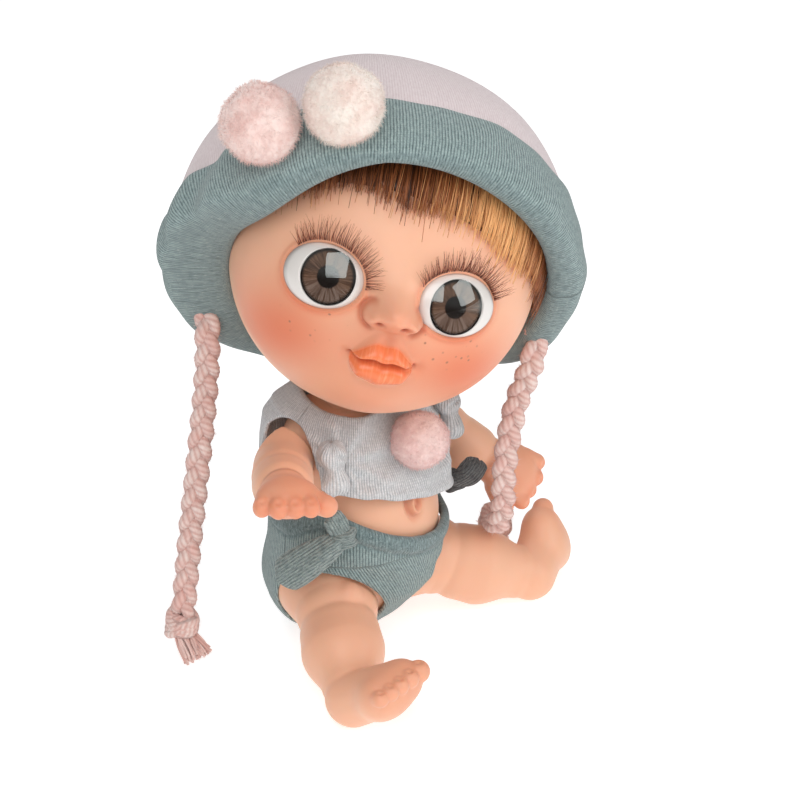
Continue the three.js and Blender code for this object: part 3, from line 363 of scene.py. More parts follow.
def softened(shape: Shape, times: int, amount: float = 0.5) -> Shape:
    """The shape with each point drawn towards its neighbours.

    Args:
        shape: The shape to smooth.
        times: How many passes.
        amount: The share of the way that a pass moves a point.

    Returns:
        The smoother shape.
    """
    first = shape.faces.ravel()
    second = np.roll(shape.faces, -1, axis=1).ravel()
    count = np.bincount(first, minlength=len(shape.points)) + np.bincount(second, minlength=len(shape.points))
    points = shape.points.copy()
    for _ in range(times):
        total = np.empty_like(points)
        for k in range(3):
            total[:, k] = np.bincount(first, points[second, k], len(points))
            total[:, k] += np.bincount(second, points[first, k], len(points))
        points += amount * (total / np.maximum(count, 1)[:, None] - points)
    return Shape(points, shape.faces, shape.marks)


class Clay:
    """A block of cells to model soft forms in: distances are negative inside, in millimetres."""

    def __init__(self, low: Sequence[float], high: Sequence[float], cell: float) -> None:
        """Sets out the block.

        Args:
            low: The lowest corner.
            high: The highest corner.
            cell: The size of a cell.
        """
        self.low = np.array(low, dtype=float)
        self.cell = cell
        axes = [np.arange(a, b + cell, cell, dtype=np.float32) for a, b in zip(low, high)]
        self.x = axes[0][:, None, None]
        self.y = axes[1][None, :, None]
        self.z = axes[2][None, None, :]

    def bar(self, a: Array, b: Array, ra: float, rb: float) -> Array:
        """Distance to a round bar between two points, with a radius at each.

        Args:
            a: One end.
            b: The other end.
            ra: The radius at a.
            rb: The radius at b.

        Returns:
            The distances.
        """
        run = b - a
        size = float(run @ run)
        share = ((self.x - a[0]) * run[0] + (self.y - a[1]) * run[1] + (self.z - a[2]) * run[2]) / size
        share = np.clip(share, 0, 1)
        off = [axis - start - share * step for axis, start, step in zip((self.x, self.y, self.z), a, run)]
        return np.sqrt(off[0] ** 2 + off[1] ** 2 + off[2] ** 2) - (ra + (rb - ra) * share)

    def oval(self, centre: Array, axes: Array, radii: Sequence[float]) -> Array:
        """Distance to an ellipsoid with its own axes, one a row.

        Args:
            centre: Its middle.
            axes: Its axes, one a row.
            radii: Its half size along each axis.

        Returns:
            The distances.
        """
        parts = []
        for axis, radius in zip(axes, radii):
            local = (self.x - centre[0]) * axis[0] + (self.y - centre[1]) * axis[1] + (self.z - centre[2]) * axis[2]
            parts.append((local, radius))
        near = np.sqrt(sum((local / radius) ** 2 for local, radius in parts))
        slope = np.sqrt(sum((local / radius**2) ** 2 for local, radius in parts))
        return near * (near - 1) / np.maximum(slope, 1e-6)

    def ball(self, centre: Array, radius: float) -> Array:
        """Distance to a ball."""
        return np.sqrt((self.x - centre[0]) ** 2 + (self.y - centre[1]) ** 2 + (self.z - centre[2]) ** 2) - radius

    def plane(self, point: Array, normal: Array) -> Array:
        """Distance to a plane, negative behind it."""
        n = unit(normal)
        return (self.x - point[0]) * n[0] + (self.y - point[1]) * n[1] + (self.z - point[2]) * n[2]

    def true(self, values: Array) -> Array:
        """A rough distance made a true one near its surface, by its own slope."""
        slope = np.gradient(values, self.cell)
        return values / np.maximum(np.sqrt(sum(part**2 for part in slope)), 0.05)

    def shape(self, values: Array, smooth_passes: int = 2) -> Shape:
        """The surface where the distance is 0.

        Args:
            values: The distances.
            smooth_passes: How often the mesh is smoothed.

        Returns:
            The shape, facing out.
        """
        cells = openvdb.FloatGrid(4.0)
        cells.copyFromArray(np.ascontiguousarray(np.clip(values, -4, 4), dtype=np.float32))
        points, quads = cells.convertToQuads(isovalue=0.0)
        made = outward(Shape(points.astype(float) * self.cell + self.low, quads.astype(int)))
        return softened(made, smooth_passes)


def fuse(a: Array, b: Array, blend: float) -> Array:
    """Two forms joined, with a fillet of about the blend's size."""
    near = np.maximum(blend - np.abs(a - b), 0) / blend
    return np.minimum(a, b) - near * near * blend * 0.25


def carve(a: Array, b: Array, blend: float) -> Array:
    """Form a with form b cut away."""
    return -fuse(-a, b, blend)


def meet(a: Array, b: Array, blend: float) -> Array:
    """What two forms have in common."""
    return -fuse(-a, -b, blend)


# Shader wiring


class Wire:
    """A socket that maths can be done with: each operation adds a Math node."""

    def __init__(self, graph: "Graph", socket: bpy.types.NodeSocket) -> None:
        """Holds a graph's output socket."""
        self.graph = graph
        self.socket = socket

    def _math(self, operation: str, *others: "Number") -> "Wire":
        """A Math node on this value and others."""
        return self.graph.node("ShaderNodeMath", {"operation": operation}, {0: self, **dict(enumerate(others, 1))})

    def __add__(self, other: "Number") -> "Wire":
        """The sum."""
        return self._math("ADD", other)

    __radd__ = __add__

    def __mul__(self, other: "Number") -> "Wire":
        """The product."""
        return self._math("MULTIPLY", other)

    __rmul__ = __mul__

    def __sub__(self, other: "Number") -> "Wire":
        """The difference."""
        return self._math("SUBTRACT", other)

    def __rsub__(self, other: "Number") -> "Wire":
        """The difference, the other way round."""
        return self.graph.node("ShaderNodeMath", {"operation": "SUBTRACT"}, {0: other, 1: self})

    def __truediv__(self, other: "Number") -> "Wire":
        """The quotient."""
        return self._math("DIVIDE", other)

    def __abs__(self) -> "Wire":
        """The value without its sign."""
        return self._math("ABSOLUTE")

    def fract(self) -> "Wire":
        """What is left above the whole number."""
        return self._math("FRACT")

    def most(self, other: "Number") -> "Wire":
        """The larger value."""
        return self._math("MAXIMUM", other)

    def step(self, low: float, high: float) -> "Wire":
        """A smooth step from 0 at low to 1 at high."""
        settings = {"interpolation_type": "SMOOTHSTEP"}
        return self.graph.node("ShaderNodeMapRange", settings, {"Value": self, "From Min": low, "From Max": high})


Number = Union[Wire, float]
Colour = tuple[float, float, float]


class Graph:
    """The nodes of one material round a Principled shader."""

    def __init__(self, name: str) -> None:
        """Starts an empty material with its shader and output.

        Args:
            name: The material's name.
        """
        self.material = bpy.data.materials.new(name)
        self.material.use_nodes = True
        self.tree = self.material.node_tree
        self.tree.nodes.clear()
        self.shader = self.tree.nodes.new("ShaderNodeBsdfPrincipled")
        output = self.tree.nodes.new("ShaderNodeOutputMaterial")
        self.tree.links.new(self.shader.outputs[0], output.inputs["Surface"])

    def node(self, kind: str, settings: dict[str, object], inputs: dict, output: Union[int, str] = 0) -> Wire:
        """A node with its settings made first and then its inputs.

        Args:
            kind: The node's type.
            settings: Its own settings; "stops" gives a ramp's places and colours.
            inputs: Values or wires by the socket's name or number.
            output: The output to hand on.

        Returns:
            The output as a wire.
        """
        made = self.tree.nodes.new(kind)
        for key, value in settings.items():
            if key == "stops":
                self._ramp(made, value)
            else:
                setattr(made, key, value)
        for key, value in inputs.items():
            if isinstance(value, Wire):
                self.tree.links.new(value.socket, made.inputs[key])
            else:
                made.inputs[key].default_value = value
        return Wire(self, made.outputs[output])

    @staticmethod
    def _ramp(node: bpy.types.Node, stops: Sequence[tuple[float, Colour]]) -> None:
        """Sets a colour ramp's stops.

        Args:
            node: The ramp's node.
            stops: Each place and its colour.
        """
        elements = node.color_ramp.elements
        while len(elements) < len(stops):
            elements.new(0.5)
        for element, (place, colour) in zip(elements, stops):
            element.position = place
            element.color = (*colour, 1)

    def mark(self, name: str) -> Wire:
        """A number that the mesh carries."""
        return self.node("ShaderNodeAttribute", {"attribute_name": name}, {}, "Fac")

    def mark_vector(self, name: str) -> Wire:
        """A vector that the mesh carries."""
        return self.node("ShaderNodeAttribute", {"attribute_name": name}, {}, "Vector")

    def split(self, vector: Wire) -> tuple[Wire, Wire, Wire]:
        """A vector's three numbers.

        Args:
            vector: The vector.

        Returns:
            Its x, y and z.
        """
        first = self.node("ShaderNodeSeparateXYZ", {}, {0: vector}, 0)
        node = first.socket.node
        return first, Wire(self, node.outputs[1]), Wire(self, node.outputs[2])

    def joined(self, x: Number, y: Number, z: Number) -> Wire:
        """A vector of three numbers."""
        return self.node("ShaderNodeCombineXYZ", {}, {0: x, 1: y, 2: z})

    def place(self) -> Wire:
        """The object's own coordinates, in metres."""
        return self.node("ShaderNodeTexCoord", {}, {}, "Object")

    def noise(self, vector: Wire, scale: float, detail: float = 2, rough: float = 0.5) -> Wire:
        """Soft noise between 0 and 1."""
        inputs = {"Vector": vector, "Scale": scale, "Detail": detail, "Roughness": rough}
        return self.node("ShaderNodeTexNoise", {}, inputs, "Fac")

    def mix(self, factor: Number, a: Union[Wire, Colour], b: Union[Wire, Colour]) -> Wire:
        """A colour between two colours.

        Args:
            factor: The share of the second.
            a: The first.
            b: The second.

        Returns:
            The colour.
        """
        colours = [c if isinstance(c, Wire) else (*c, 1) for c in (a, b)]
        settings = {"data_type": "RGBA", "clamp_factor": True}
        return self.node("ShaderNodeMix", settings, {0: factor, 6: colours[0], 7: colours[1]}, 2)

    def shaded(self, colour: Wire, amount: Wire) -> Wire:
        """A colour times a grey amount."""
        grey = self.joined(amount, amount, amount)
        return self.node("ShaderNodeVectorMath", {"operation": "MULTIPLY"}, {0: colour, 1: grey})

    def bump(self, height: Wire, distance: float, strength: float = 1) -> Wire:
        """A normal from a height in units of distance, in metres."""
        return self.node("ShaderNodeBump", {}, {"Height": height, "Distance": distance, "Strength": strength})

    def finish(self, **sockets: Union[Wire, float, tuple]) -> bpy.types.Material:
        """Sets the shader's sockets and hands the material over.

        Args:
            sockets: Values or wires by the socket's name, with _ for a space.

        Returns:
            The material.
        """
        for key, value in sockets.items():
            socket = self.shader.inputs[key.replace("_", " ")]
            if isinstance(value, Wire):
                self.tree.links.new(value.socket, socket)
            elif isinstance(value, tuple) and len(value) == 3 and socket.type == "RGBA":
                socket.default_value = (*value, 1)
            else:
                socket.default_value = value
        return self.material


# Finishes


@dataclass(frozen=True)
class Vinyl:
    """Soft peach vinyl with sprayed blush, painted lips, freckles, painted shade in its creases and round the eyes,
    and a painted highlight on the lips.
    """

    colour: Colour = (0.84, 0.46, 0.30)
    # blush: sprayed blush, also used for the painted shade round the eyes.
    blush: Colour = (0.68, 0.15, 0.055)
    # fold: the colour of painted shade in creases, nostrils, the lip parting, the navel and the wrists.
    fold: Colour = (0.48, 0.11, 0.05)
    lips: Colour = (0.80, 0.20, 0.075)
    # A painted highlight along the ridges of the lip lines.
    lip_highlight: Colour = (0.95, 0.38, 0.19)
    freckle: Colour = (0.30, 0.13, 0.07)
    depth: float = 0.0022

    def make(self) -> bpy.types.Material:
        """The material; it reads the marks blush, fold, lip, lip_lines and freckle; fold is painted shade.

        Returns:
            The material.
        """
        g = Graph("vinyl_skin")
        place = g.place()
        lip = g.mark("lip")
        mottled = g.mix(g.noise(place, 70, 3).step(0.3, 0.75), self.colour, tuple(c * 0.95 for c in self.colour))
        warm = g.mix(g.mark("blush"), mottled, self.blush)
        # Painted shade in the creases, where the mark fold is set.
        crease_shaded = g.mix(g.mark("fold"), warm, self.fold)
        cells = g.node("ShaderNodeTexVoronoi", {"feature": "F1"}, {"Vector": place, "Scale": 700.0}, "Distance")
        cell = cells.socket.node
        chance, _, size = g.split(Wire(g, cell.outputs["Color"]))
        dots = (1 - cells.step(0.1, 0.26)) * chance.step(0.55, 0.6) * g.mark("freckle") * (0.5 + 0.5 * size)
        dotted = g.mix(dots, crease_shaded, self.freckle)
        streaks = g.noise(g.mark_vector("lip_lines"), 1.0, 3, 0.6)
        # The lips' paint, with the painted highlight on the ridges of the lip lines.
        painted = g.mix(streaks.step(0.45, 0.85), self.lips, self.lip_highlight)
        colour = g.mix(lip, dotted, painted)
        grain = g.noise(place, 2600, 2) * 0.5 + g.noise(place, 420, 2)
        height = grain * (1 - lip) + streaks * lip * 2.2
        return g.finish(
            Base_Color=colour,
            Roughness=0.43 - lip * 0.22 + g.noise(place, 160, 2) * 0.06,
            Normal=g.bump(height, 0.00003, 0.5),
            Subsurface_Weight=0.22,
            Subsurface_Radius=(1.0, 0.36, 0.2),
            Subsurface_Scale=self.depth,
            Specular_IOR_Level=0.42,
            Sheen_Weight=0.06,
            Sheen_Roughness=0.4,
        )


class Stitch(Enum):
    """How a knitted cloth's columns look."""

    RIB = "rib"
    JERSEY = "jersey"
    FLEECED = "fleeced"


@dataclass(frozen=True)
class Knit:
    """Machine-knitted cloth; the mesh carries its own columns and rows in mm as the mark cloth."""

    name: str
    light: Colour
    dark: Colour
    fleck: Colour
    stitch: Stitch = Stitch.RIB
    column: float = 0.56
    row: float = 0.46
    relief: float = 0.00022
    # How far the stitch height darkens the grooves between columns: painted shade.
    contrast: float = 0.62

    def make(self) -> bpy.types.Material:
        """The material, with columns of stitches, painted shade in the grooves between them, heather flecks and fuzz.

        Returns:
            The material.
        """
        g = Graph(self.name)
        across, along, _ = g.split(g.mark_vector("cloth"))
        cloth = g.joined(across, along, 0.0)
        wander = g.noise(cloth, 0.35, 2) - 0.5
        column = across / self.column + wander * 0.5
        leg = abs(column.fract() - 0.5) * 2
        ridge = 1 - leg.step(0.25, 1.0)
        slant = (along / self.row + leg * 0.55 + (g.noise(cloth, 0.9, 1) - 0.5) * 0.6).fract()
        loop = 1 - (abs(slant - 0.5) * 2).step(0.45, 1.0)
        grip = {Stitch.RIB: 0.3, Stitch.JERSEY: 0.5, Stitch.FLEECED: 0.4}[self.stitch]
        height = (ridge * (1 - grip) + ridge * loop * grip) * (1 - g.mark("plain") * 0.75)
        stretched = g.joined(across * 2.6, along * 0.9, 3.0)
        heather = g.noise(stretched, 1.0, 4, 0.75)
        fleck = g.noise(g.joined(across, along, 9.0), 3.4, 2, 0.6)
        fuzz = g.noise(cloth, 9.0, 3, 0.7)
        # The stitch height darkens the grooves between the columns as well as bumping them: painted shade.
        ground = g.mix(height * self.contrast + (heather - 0.5) * 1.9 + 0.16, self.dark, self.light)
        flecked = g.mix(fleck.step(0.6, 0.72) * 0.35, ground, self.fleck)
        colour = g.shaded(flecked, 0.86 + fuzz * 0.28)
        return g.finish(
            Base_Color=colour,
            Roughness=0.95,
            Normal=g.bump(height + fuzz * 0.35 + heather * 0.3, self.relief, 0.8),
            Sheen_Weight=0.25,
            Sheen_Roughness=0.6,
            Specular_IOR_Level=0.2,
        )


@dataclass(frozen=True)
class Yarn:
    """Soft spun yarn of pink and cream with painted shade; the mesh carries the mark cloth along and round it."""

    pink: Colour = (0.80, 0.54, 0.49)
    cream: Colour = (0.90, 0.79, 0.74)
    # deep: the painted shade between the plies and where a strand passes under another.
    deep: Colour = (0.56, 0.26, 0.21)

    def make(self) -> bpy.types.Material:
        """The material, with twisted plies, loose fibres and painted shade between the plies and under the crossings.

        Returns:
            The material.
        """
        g = Graph("braid_yarn")
        along, round_, tone = g.split(g.mark_vector("cloth"))
        twist = (along * 1.15 + round_ * 4).fract()
        ply = 1 - (abs(twist - 0.5) * 2).step(0.2, 1.0)
        fibres = g.noise(g.joined(along * 0.7, round_ * 24, tone), 1.6, 4, 0.7)
        patches = g.noise(g.joined(along, tone * 7, 0.0), 0.55, 2)
        soft = g.mix(patches.step(0.3, 0.7), self.pink, self.cream)
        # Painted shade between the twisted plies.
        lit = g.mix(ply * 0.4 + fibres * 0.75, self.deep, soft)
        # Painted shade where the strands pass under each other, read from the mark fold.
        tuck_shade = g.mark("fold")
        return g.finish(
            Base_Color=g.mix(tuck_shade * 0.65, lit, self.deep),
            Roughness=0.95,
            Normal=g.bump(ply * 0.6 + fibres, 0.00022, 0.8),
            Sheen_Weight=0.3,
            Sheen_Roughness=0.6,
            Specular_IOR_Level=0.15,
        )


@dataclass(frozen=True)
class Fluff:
    """A pompom's felted fluff."""

    name: str
    light: Colour
    dark: Colour

    def make(self) -> bpy.types.Material:
        """The material, clouded with soft tufts.

        Returns:
            The material.
        """
        g = Graph(self.name)
        place = g.place()
        clouds = g.noise(place, 170, 3, 0.6)
        tufts = g.noise(place, 900, 3, 0.65)
        colour = g.mix((clouds * 0.9 + tufts * 0.35).step(0.42, 0.82), self.dark, self.light)
        return g.finish(
            Base_Color=g.shaded(colour, 0.88 + tufts * 0.22),
            Roughness=1.0,
            Normal=g.bump(tufts + clouds * 0.4, 0.0004, 0.7),
            Sheen_Weight=0.5,
            Sheen_Roughness=0.7,
            Specular_IOR_Level=0.1,
            Subsurface_Weight=0.15,
            Subsurface_Radius=(1.0, 0.7, 0.6),
            Subsurface_Scale=0.0012,
        )


@dataclass(frozen=True)
class Fibre:
    """Synthetic hair or lashes; the mesh carries the mark tone from dark to bright, which on the wig holds painted
    light and shade.
    """

    name: str
    dark: Colour
    middle: Colour
    bright: Colour
    roughness: float = 0.38

    def make(self) -> bpy.types.Material:
        """The material, its colour from the strand's tone.

        Returns:
            The material.
        """
        g = Graph(self.name)
        stops = [(0.0, self.dark), (0.5, self.middle), (1.0, self.bright)]
        colour = g.node("ShaderNodeValToRGB", {"stops": stops}, {0: g.mark("tone")})
        return g.finish(Base_Color=colour, Roughness=self.roughness, Specular_IOR_Level=0.45)


@dataclass(frozen=True)
class EyeWhite:
    """Glossy moulded eye white, greyed towards its rim by painted shade; reads the mark rim."""

    colour: Colour = (0.72, 0.69, 0.66)
    # rim: the painted shade where the white meets the lids.
    rim: Colour = (0.30, 0.28, 0.27)
    cloud: Colour = (0.62, 0.55, 0.5)

    def make(self) -> bpy.types.Material:
        """The material.

        Returns:
            The material.
        """
        g = Graph("eye_white")
        # Painted shade, greying the white towards its rim.
        colour = g.mix(g.mark("rim").step(0.86, 1.0), self.colour, self.rim)
        tint = g.mix(g.noise(g.place(), 260, 2) * 0.25, colour, self.cloud)
        return g.finish(Base_Color=tint, Roughness=0.16 + g.noise(g.place(), 90, 1) * 0.05, Coat_Weight=0.4)


@dataclass(frozen=True)
class IrisPaint:
    """A printed iris: fibres from the pupil out, in a dark ring, with painted light on its lower part; reads the mark
    polar.
    """

    pupil: float = 0.40
    light: Colour = (0.17, 0.095, 0.06)
    middle: Colour = (0.045, 0.022, 0.014)
    dark: Colour = (0.012, 0.009, 0.008)
    # grey: the painted light on the lower fibres.
    grey: Colour = (0.17, 0.135, 0.12)

    def make(self) -> bpy.types.Material:
        """The material.

        Returns:
            The material.
        """
        g = Graph("iris_paint")
        radius, angle_x, angle_y = g.split(g.mark_vector("polar"))
        rays = g.noise(g.joined(angle_x * 11, angle_y * 11, radius * 1.1), 1.0, 5, 0.72)
        spokes = g.noise(g.joined(angle_x * 4.5, angle_y * 4.5, radius * 0.6), 1.0, 2, 0.5)
        fibres = (rays * 0.75 + spokes * 0.45).step(0.44, 0.74)
        brown = g.mix(fibres, self.middle, self.light)
        # Painted light: the lower fibres turn greyer and lighter.
        low = (0.5 - angle_y * 0.5).step(0.45, 0.95)
        lit_below = g.mix(low * 0.6 * fibres, brown, self.grey)
        wavy = radius + (rays - 0.5) * 0.09
        ring = radius.step(0.84, 0.97).most(1 - wavy.step(self.pupil - 0.02, self.pupil + 0.05))
        colour = g.mix(ring, lit_below, self.dark)
        return g.finish(Base_Color=colour, Roughness=0.6, Normal=g.bump(rays, 0.0001, 0.4), Specular_IOR_Level=0.0)


@dataclass(frozen=True)
class ClearLens:
    """Clear plastic over the iris, see-through where it doesn't mirror the room; reads the mark upper."""

    mirror: float = 2.0
    tint: Colour = (0.9, 0.97, 0.95)

    def make(self) -> bpy.types.Material:
        """The material.

        Returns:
            The material.
        """
        g = Graph("clear_lens")
        g.finish(Base_Color=self.tint, Metallic=1.0, Roughness=0.03 + g.noise(g.place(), 60, 1) * 0.01)
        clear = g.node("ShaderNodeBsdfTransparent", {}, {})
        inside = g.node("ShaderNodeNewGeometry", {}, {}, "Backfacing")
        gloss = g.node("ShaderNodeFresnel", {}, {"IOR": self.mirror}) * (1 - inside)
        gloss = gloss * (0.06 + g.mark("upper").step(0.42, 0.62) * 0.94)
        mixed = g.node("ShaderNodeMixShader", {}, {0: gloss, 1: clear, 2: Wire(g, g.shader.outputs[0])})
        output = next(node for node in g.tree.nodes if node.type == "OUTPUT_MATERIAL")
        g.tree.links.new(mixed.socket, output.inputs["Surface"])
        return g.material


@dataclass(frozen=True)
class Floor:
    """A plain pale studio floor."""

    colour: Colour = (0.72, 0.72, 0.72)
    glow: float = 0.62

    def make(self) -> bpy.types.Material:
        """The material.

        Returns:
            The material.
        """
        return Graph("studio_floor").finish(
            Base_Color=self.colour,
            Roughness=0.9,
            Specular_IOR_Level=0.1,
            Emission_Color=(1.0, 1.0, 1.0),
            Emission_Strength=self.glow,
        )


def dress(piece: bpy.types.Object, material: bpy.types.Material) -> None:
    """Gives a piece its only material.

    Args:
        piece: The piece.
        material: Its finish.
    """
    piece.data.materials.clear()
    piece.data.materials.append(material)


def install(piece: bpy.types.Object, material: bpy.types.Material, body: str, node: str) -> None:
    """Dresses a piece and makes it ride on a body in place of a CAD node.

    Args:
        piece: The piece, in place.
        material: Its finish.
        body: The body that it rides on.
        node: The CAD node that it stands for.
    """
    dress(piece, material)
    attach(piece, body)
    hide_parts(node)
    LOG.info("%s: %d points, rides on %s", piece.name, len(piece.data.vertices), body)


def fuzz(points: Array, normals: Array, count: int, length: float, width: float, seed: int) -> Shape:
    """Loose fibres standing on a surface, as narrow strips.

    Args:
        points: Places on the surface.
        normals: Its normals there.
        count: How many fibres.
        length: A fibre's length.
        width: A fibre's width at its root.
        seed: The seed of its random numbers.

    Returns:
        The strips as one shape.
    """
    rng = np.random.default_rng(seed)
    pick = rng.integers(0, len(points), count)
    root = points[pick] - normals[pick] * 0.1
    lean = rng.normal(size=(count, 3))
    run = units(normals[pick] + 0.75 * lean / np.linalg.norm(lean, axis=1)[:, None])
    curl = units(np.cross(run, rng.normal(size=(count, 3))))
    long = length * rng.uniform(0.5, 1.15, (count, 1))
    droop = vec(0, 0, -0.12)
    middle = root + run * long * 0.5 + curl * long * 0.1
    tip = root + run * long * 0.92 + curl * long * 0.36 + droop * long
    aside = np.cross(run, curl) * width / 2
    strip = np.stack([root - aside, root + aside, middle + aside * 0.8, middle - aside * 0.8,
                      tip + aside * 0.3, tip - aside * 0.3], axis=1)
    base = np.arange(count)[:, None] * 6
    quads = np.concatenate([base + np.array([[0, 1, 2, 3]]), base + np.array([[3, 2, 4, 5]])])
    return Shape(strip.reshape(-1, 3), quads)


# The doll's own frames and routes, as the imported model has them


NECK = vec(0, -1.5, 60.8)
NECK_AXIS = vec(0, 0, 1)
NECK_RANGE = (-48, 132)
HEAD_CENTRE = vec(1.7, -7.5, 81.8)
HEAD_FRAME = Place(HEAD_CENTRE, about(vec(0, 0, 1), -42) @ about(vec(1, 0, 0), -15) @ about(vec(0, 1, 0), 14.5))
HAT_FRAME = Place(
    HEAD_FRAME.out(vec(-2, 0, 0)),
    HEAD_FRAME.turn @ about(vec(0, 1, 0), -11) @ about(vec(1, 0, 0), -46),
)
SHOULDER = vec(17.3, 1, 44.5)
SHOULDER_AXIS = unit(vec(0.98, -0.1, -0.165))
ARM_DIRECTION = unit(vec(0.652, -0.726, 0.213))
HIP = vec(11, -5.2, 13.7)
HIP_AXIS = unit(vec(0.64, -0.638, -0.428))
HEEL = vec(25.9, -26.1, 5.6)
TOES_DIRECTION = unit(vec(-0.12, -0.81, 0.575))
SOLE_DIRECTION = unit(vec(-0.08, -0.56, -0.82))
LEFT_ARM_DROP = 68.7
LEFT_LEG_TURN = 104.6

BRAID_ROUTES = {
    Side.RIGHT: [
        (-20.2, 18.3, 66.7), (-20.9, 17.9, 60), (-21.9, 18, 52), (-23.4, 18.1, 43), (-25.2, 18, 34),
        (-27.2, 17.7, 25), (-29.2, 17.2, 16), (-30.6, 16.8, 9.8),
    ],
    Side.LEFT: [
        (22.9, -27.2, 61.9), (22.6, -26, 57), (22, -24, 50.8), (20.9, -23.2, 43.8), (19.8, -23, 35.6),
        (20.2, -22.5, 28.2), (22, -19.6, 21.5), (26.4, -14.4, 18.8), (31, -10.4, 17), (34.6, -7.6, 12.6),
    ],
}
BRAID_TOPS = {Side.RIGHT: HAT_FRAME.out(vec(-31.2, 13.5, 2.0)), Side.LEFT: HAT_FRAME.out(vec(32.6, 11, -1.8))}


@dataclass
class Studio:
    """The camera of the photograph, the floor and soft lights."""

    target: tuple[float, float, float] = (14, 0, 45.5)
    distance: float = 480
    azimuth: float = -46
    elevation: float = 27
    lens: float = 108
    sensor: float = 36
    floor_reach: float = 3000
    floor_drop: float = 0.05
    sky: float = 0.23

    def build(self) -> None:
        """Makes the camera, the floor, the lights and the sky."""
        bpy.context.scene.view_settings.view_transform = "Standard"
        self._camera()
        self._floor()
        self._lights()

    def _camera(self) -> None:
        """The camera at the photograph's angle."""
        turn, rise = np.radians(self.azimuth), np.radians(self.elevation)
        back = vec(np.sin(turn) * np.cos(rise), -np.cos(turn) * np.cos(rise), np.sin(rise))
        camera = bpy.data.objects.new("photo_camera", bpy.data.cameras.new("photo_camera"))
        camera.data.lens = self.lens
        camera.data.sensor_width = self.sensor
        camera.data.clip_start = 0.01
        camera.location = (vec(*self.target) + back * self.distance) * MM
        camera.rotation_euler = Vector(back).to_track_quat("Z", "Y").to_euler()
        bpy.context.scene.collection.objects.link(camera)
        bpy.context.scene.camera = camera

    def _floor(self) -> None:
        """A wide plain floor just under the doll."""
        square = np.array([[-1, -1, 0], [1, -1, 0], [1, 1, 0], [-1, 1, 0]])
        corners = square * self.floor_reach - vec(0, 0, self.floor_drop)
        floor = Shape(corners, np.array([[0, 1, 2, 3]])).make("studio_floor")
        floor.data.materials.append(Floor().make())

    def _lights(self) -> None:
        """A window light over the camera, one at its right, a top light and a pale sky."""
        lamps = [
            ("window_left", (-385, -290, 520), (480, 560), 2.5),
            ("window_right", (180, -600, 350), (420, 480), 1.7),
            ("top_light", (120, 260, 620), (600, 600), 1.3),
        ]
        for name, place, size, power in lamps:
            lamp = bpy.data.lights.new(name, "AREA")
            lamp.shape = "RECTANGLE"
            lamp.size, lamp.size_y = (side * MM for side in size)
            lamp.energy = power
            made = bpy.data.objects.new(name, lamp)
            made.location = vec(*place) * MM
            aim = (vec(*place) - vec(0, 0, 60)) * MM
            made.rotation_euler = Vector(aim).to_track_quat("Z", "Y").to_euler()
            bpy.context.scene.collection.objects.link(made)
        world = bpy.data.worlds.new("studio_sky")
        world.use_nodes = True
        sky = world.node_tree.nodes["Background"]
        sky.inputs["Color"].default_value = (1, 1, 1, 1)
        sky.inputs["Strength"].default_value = self.sky
        bpy.context.scene.world = world


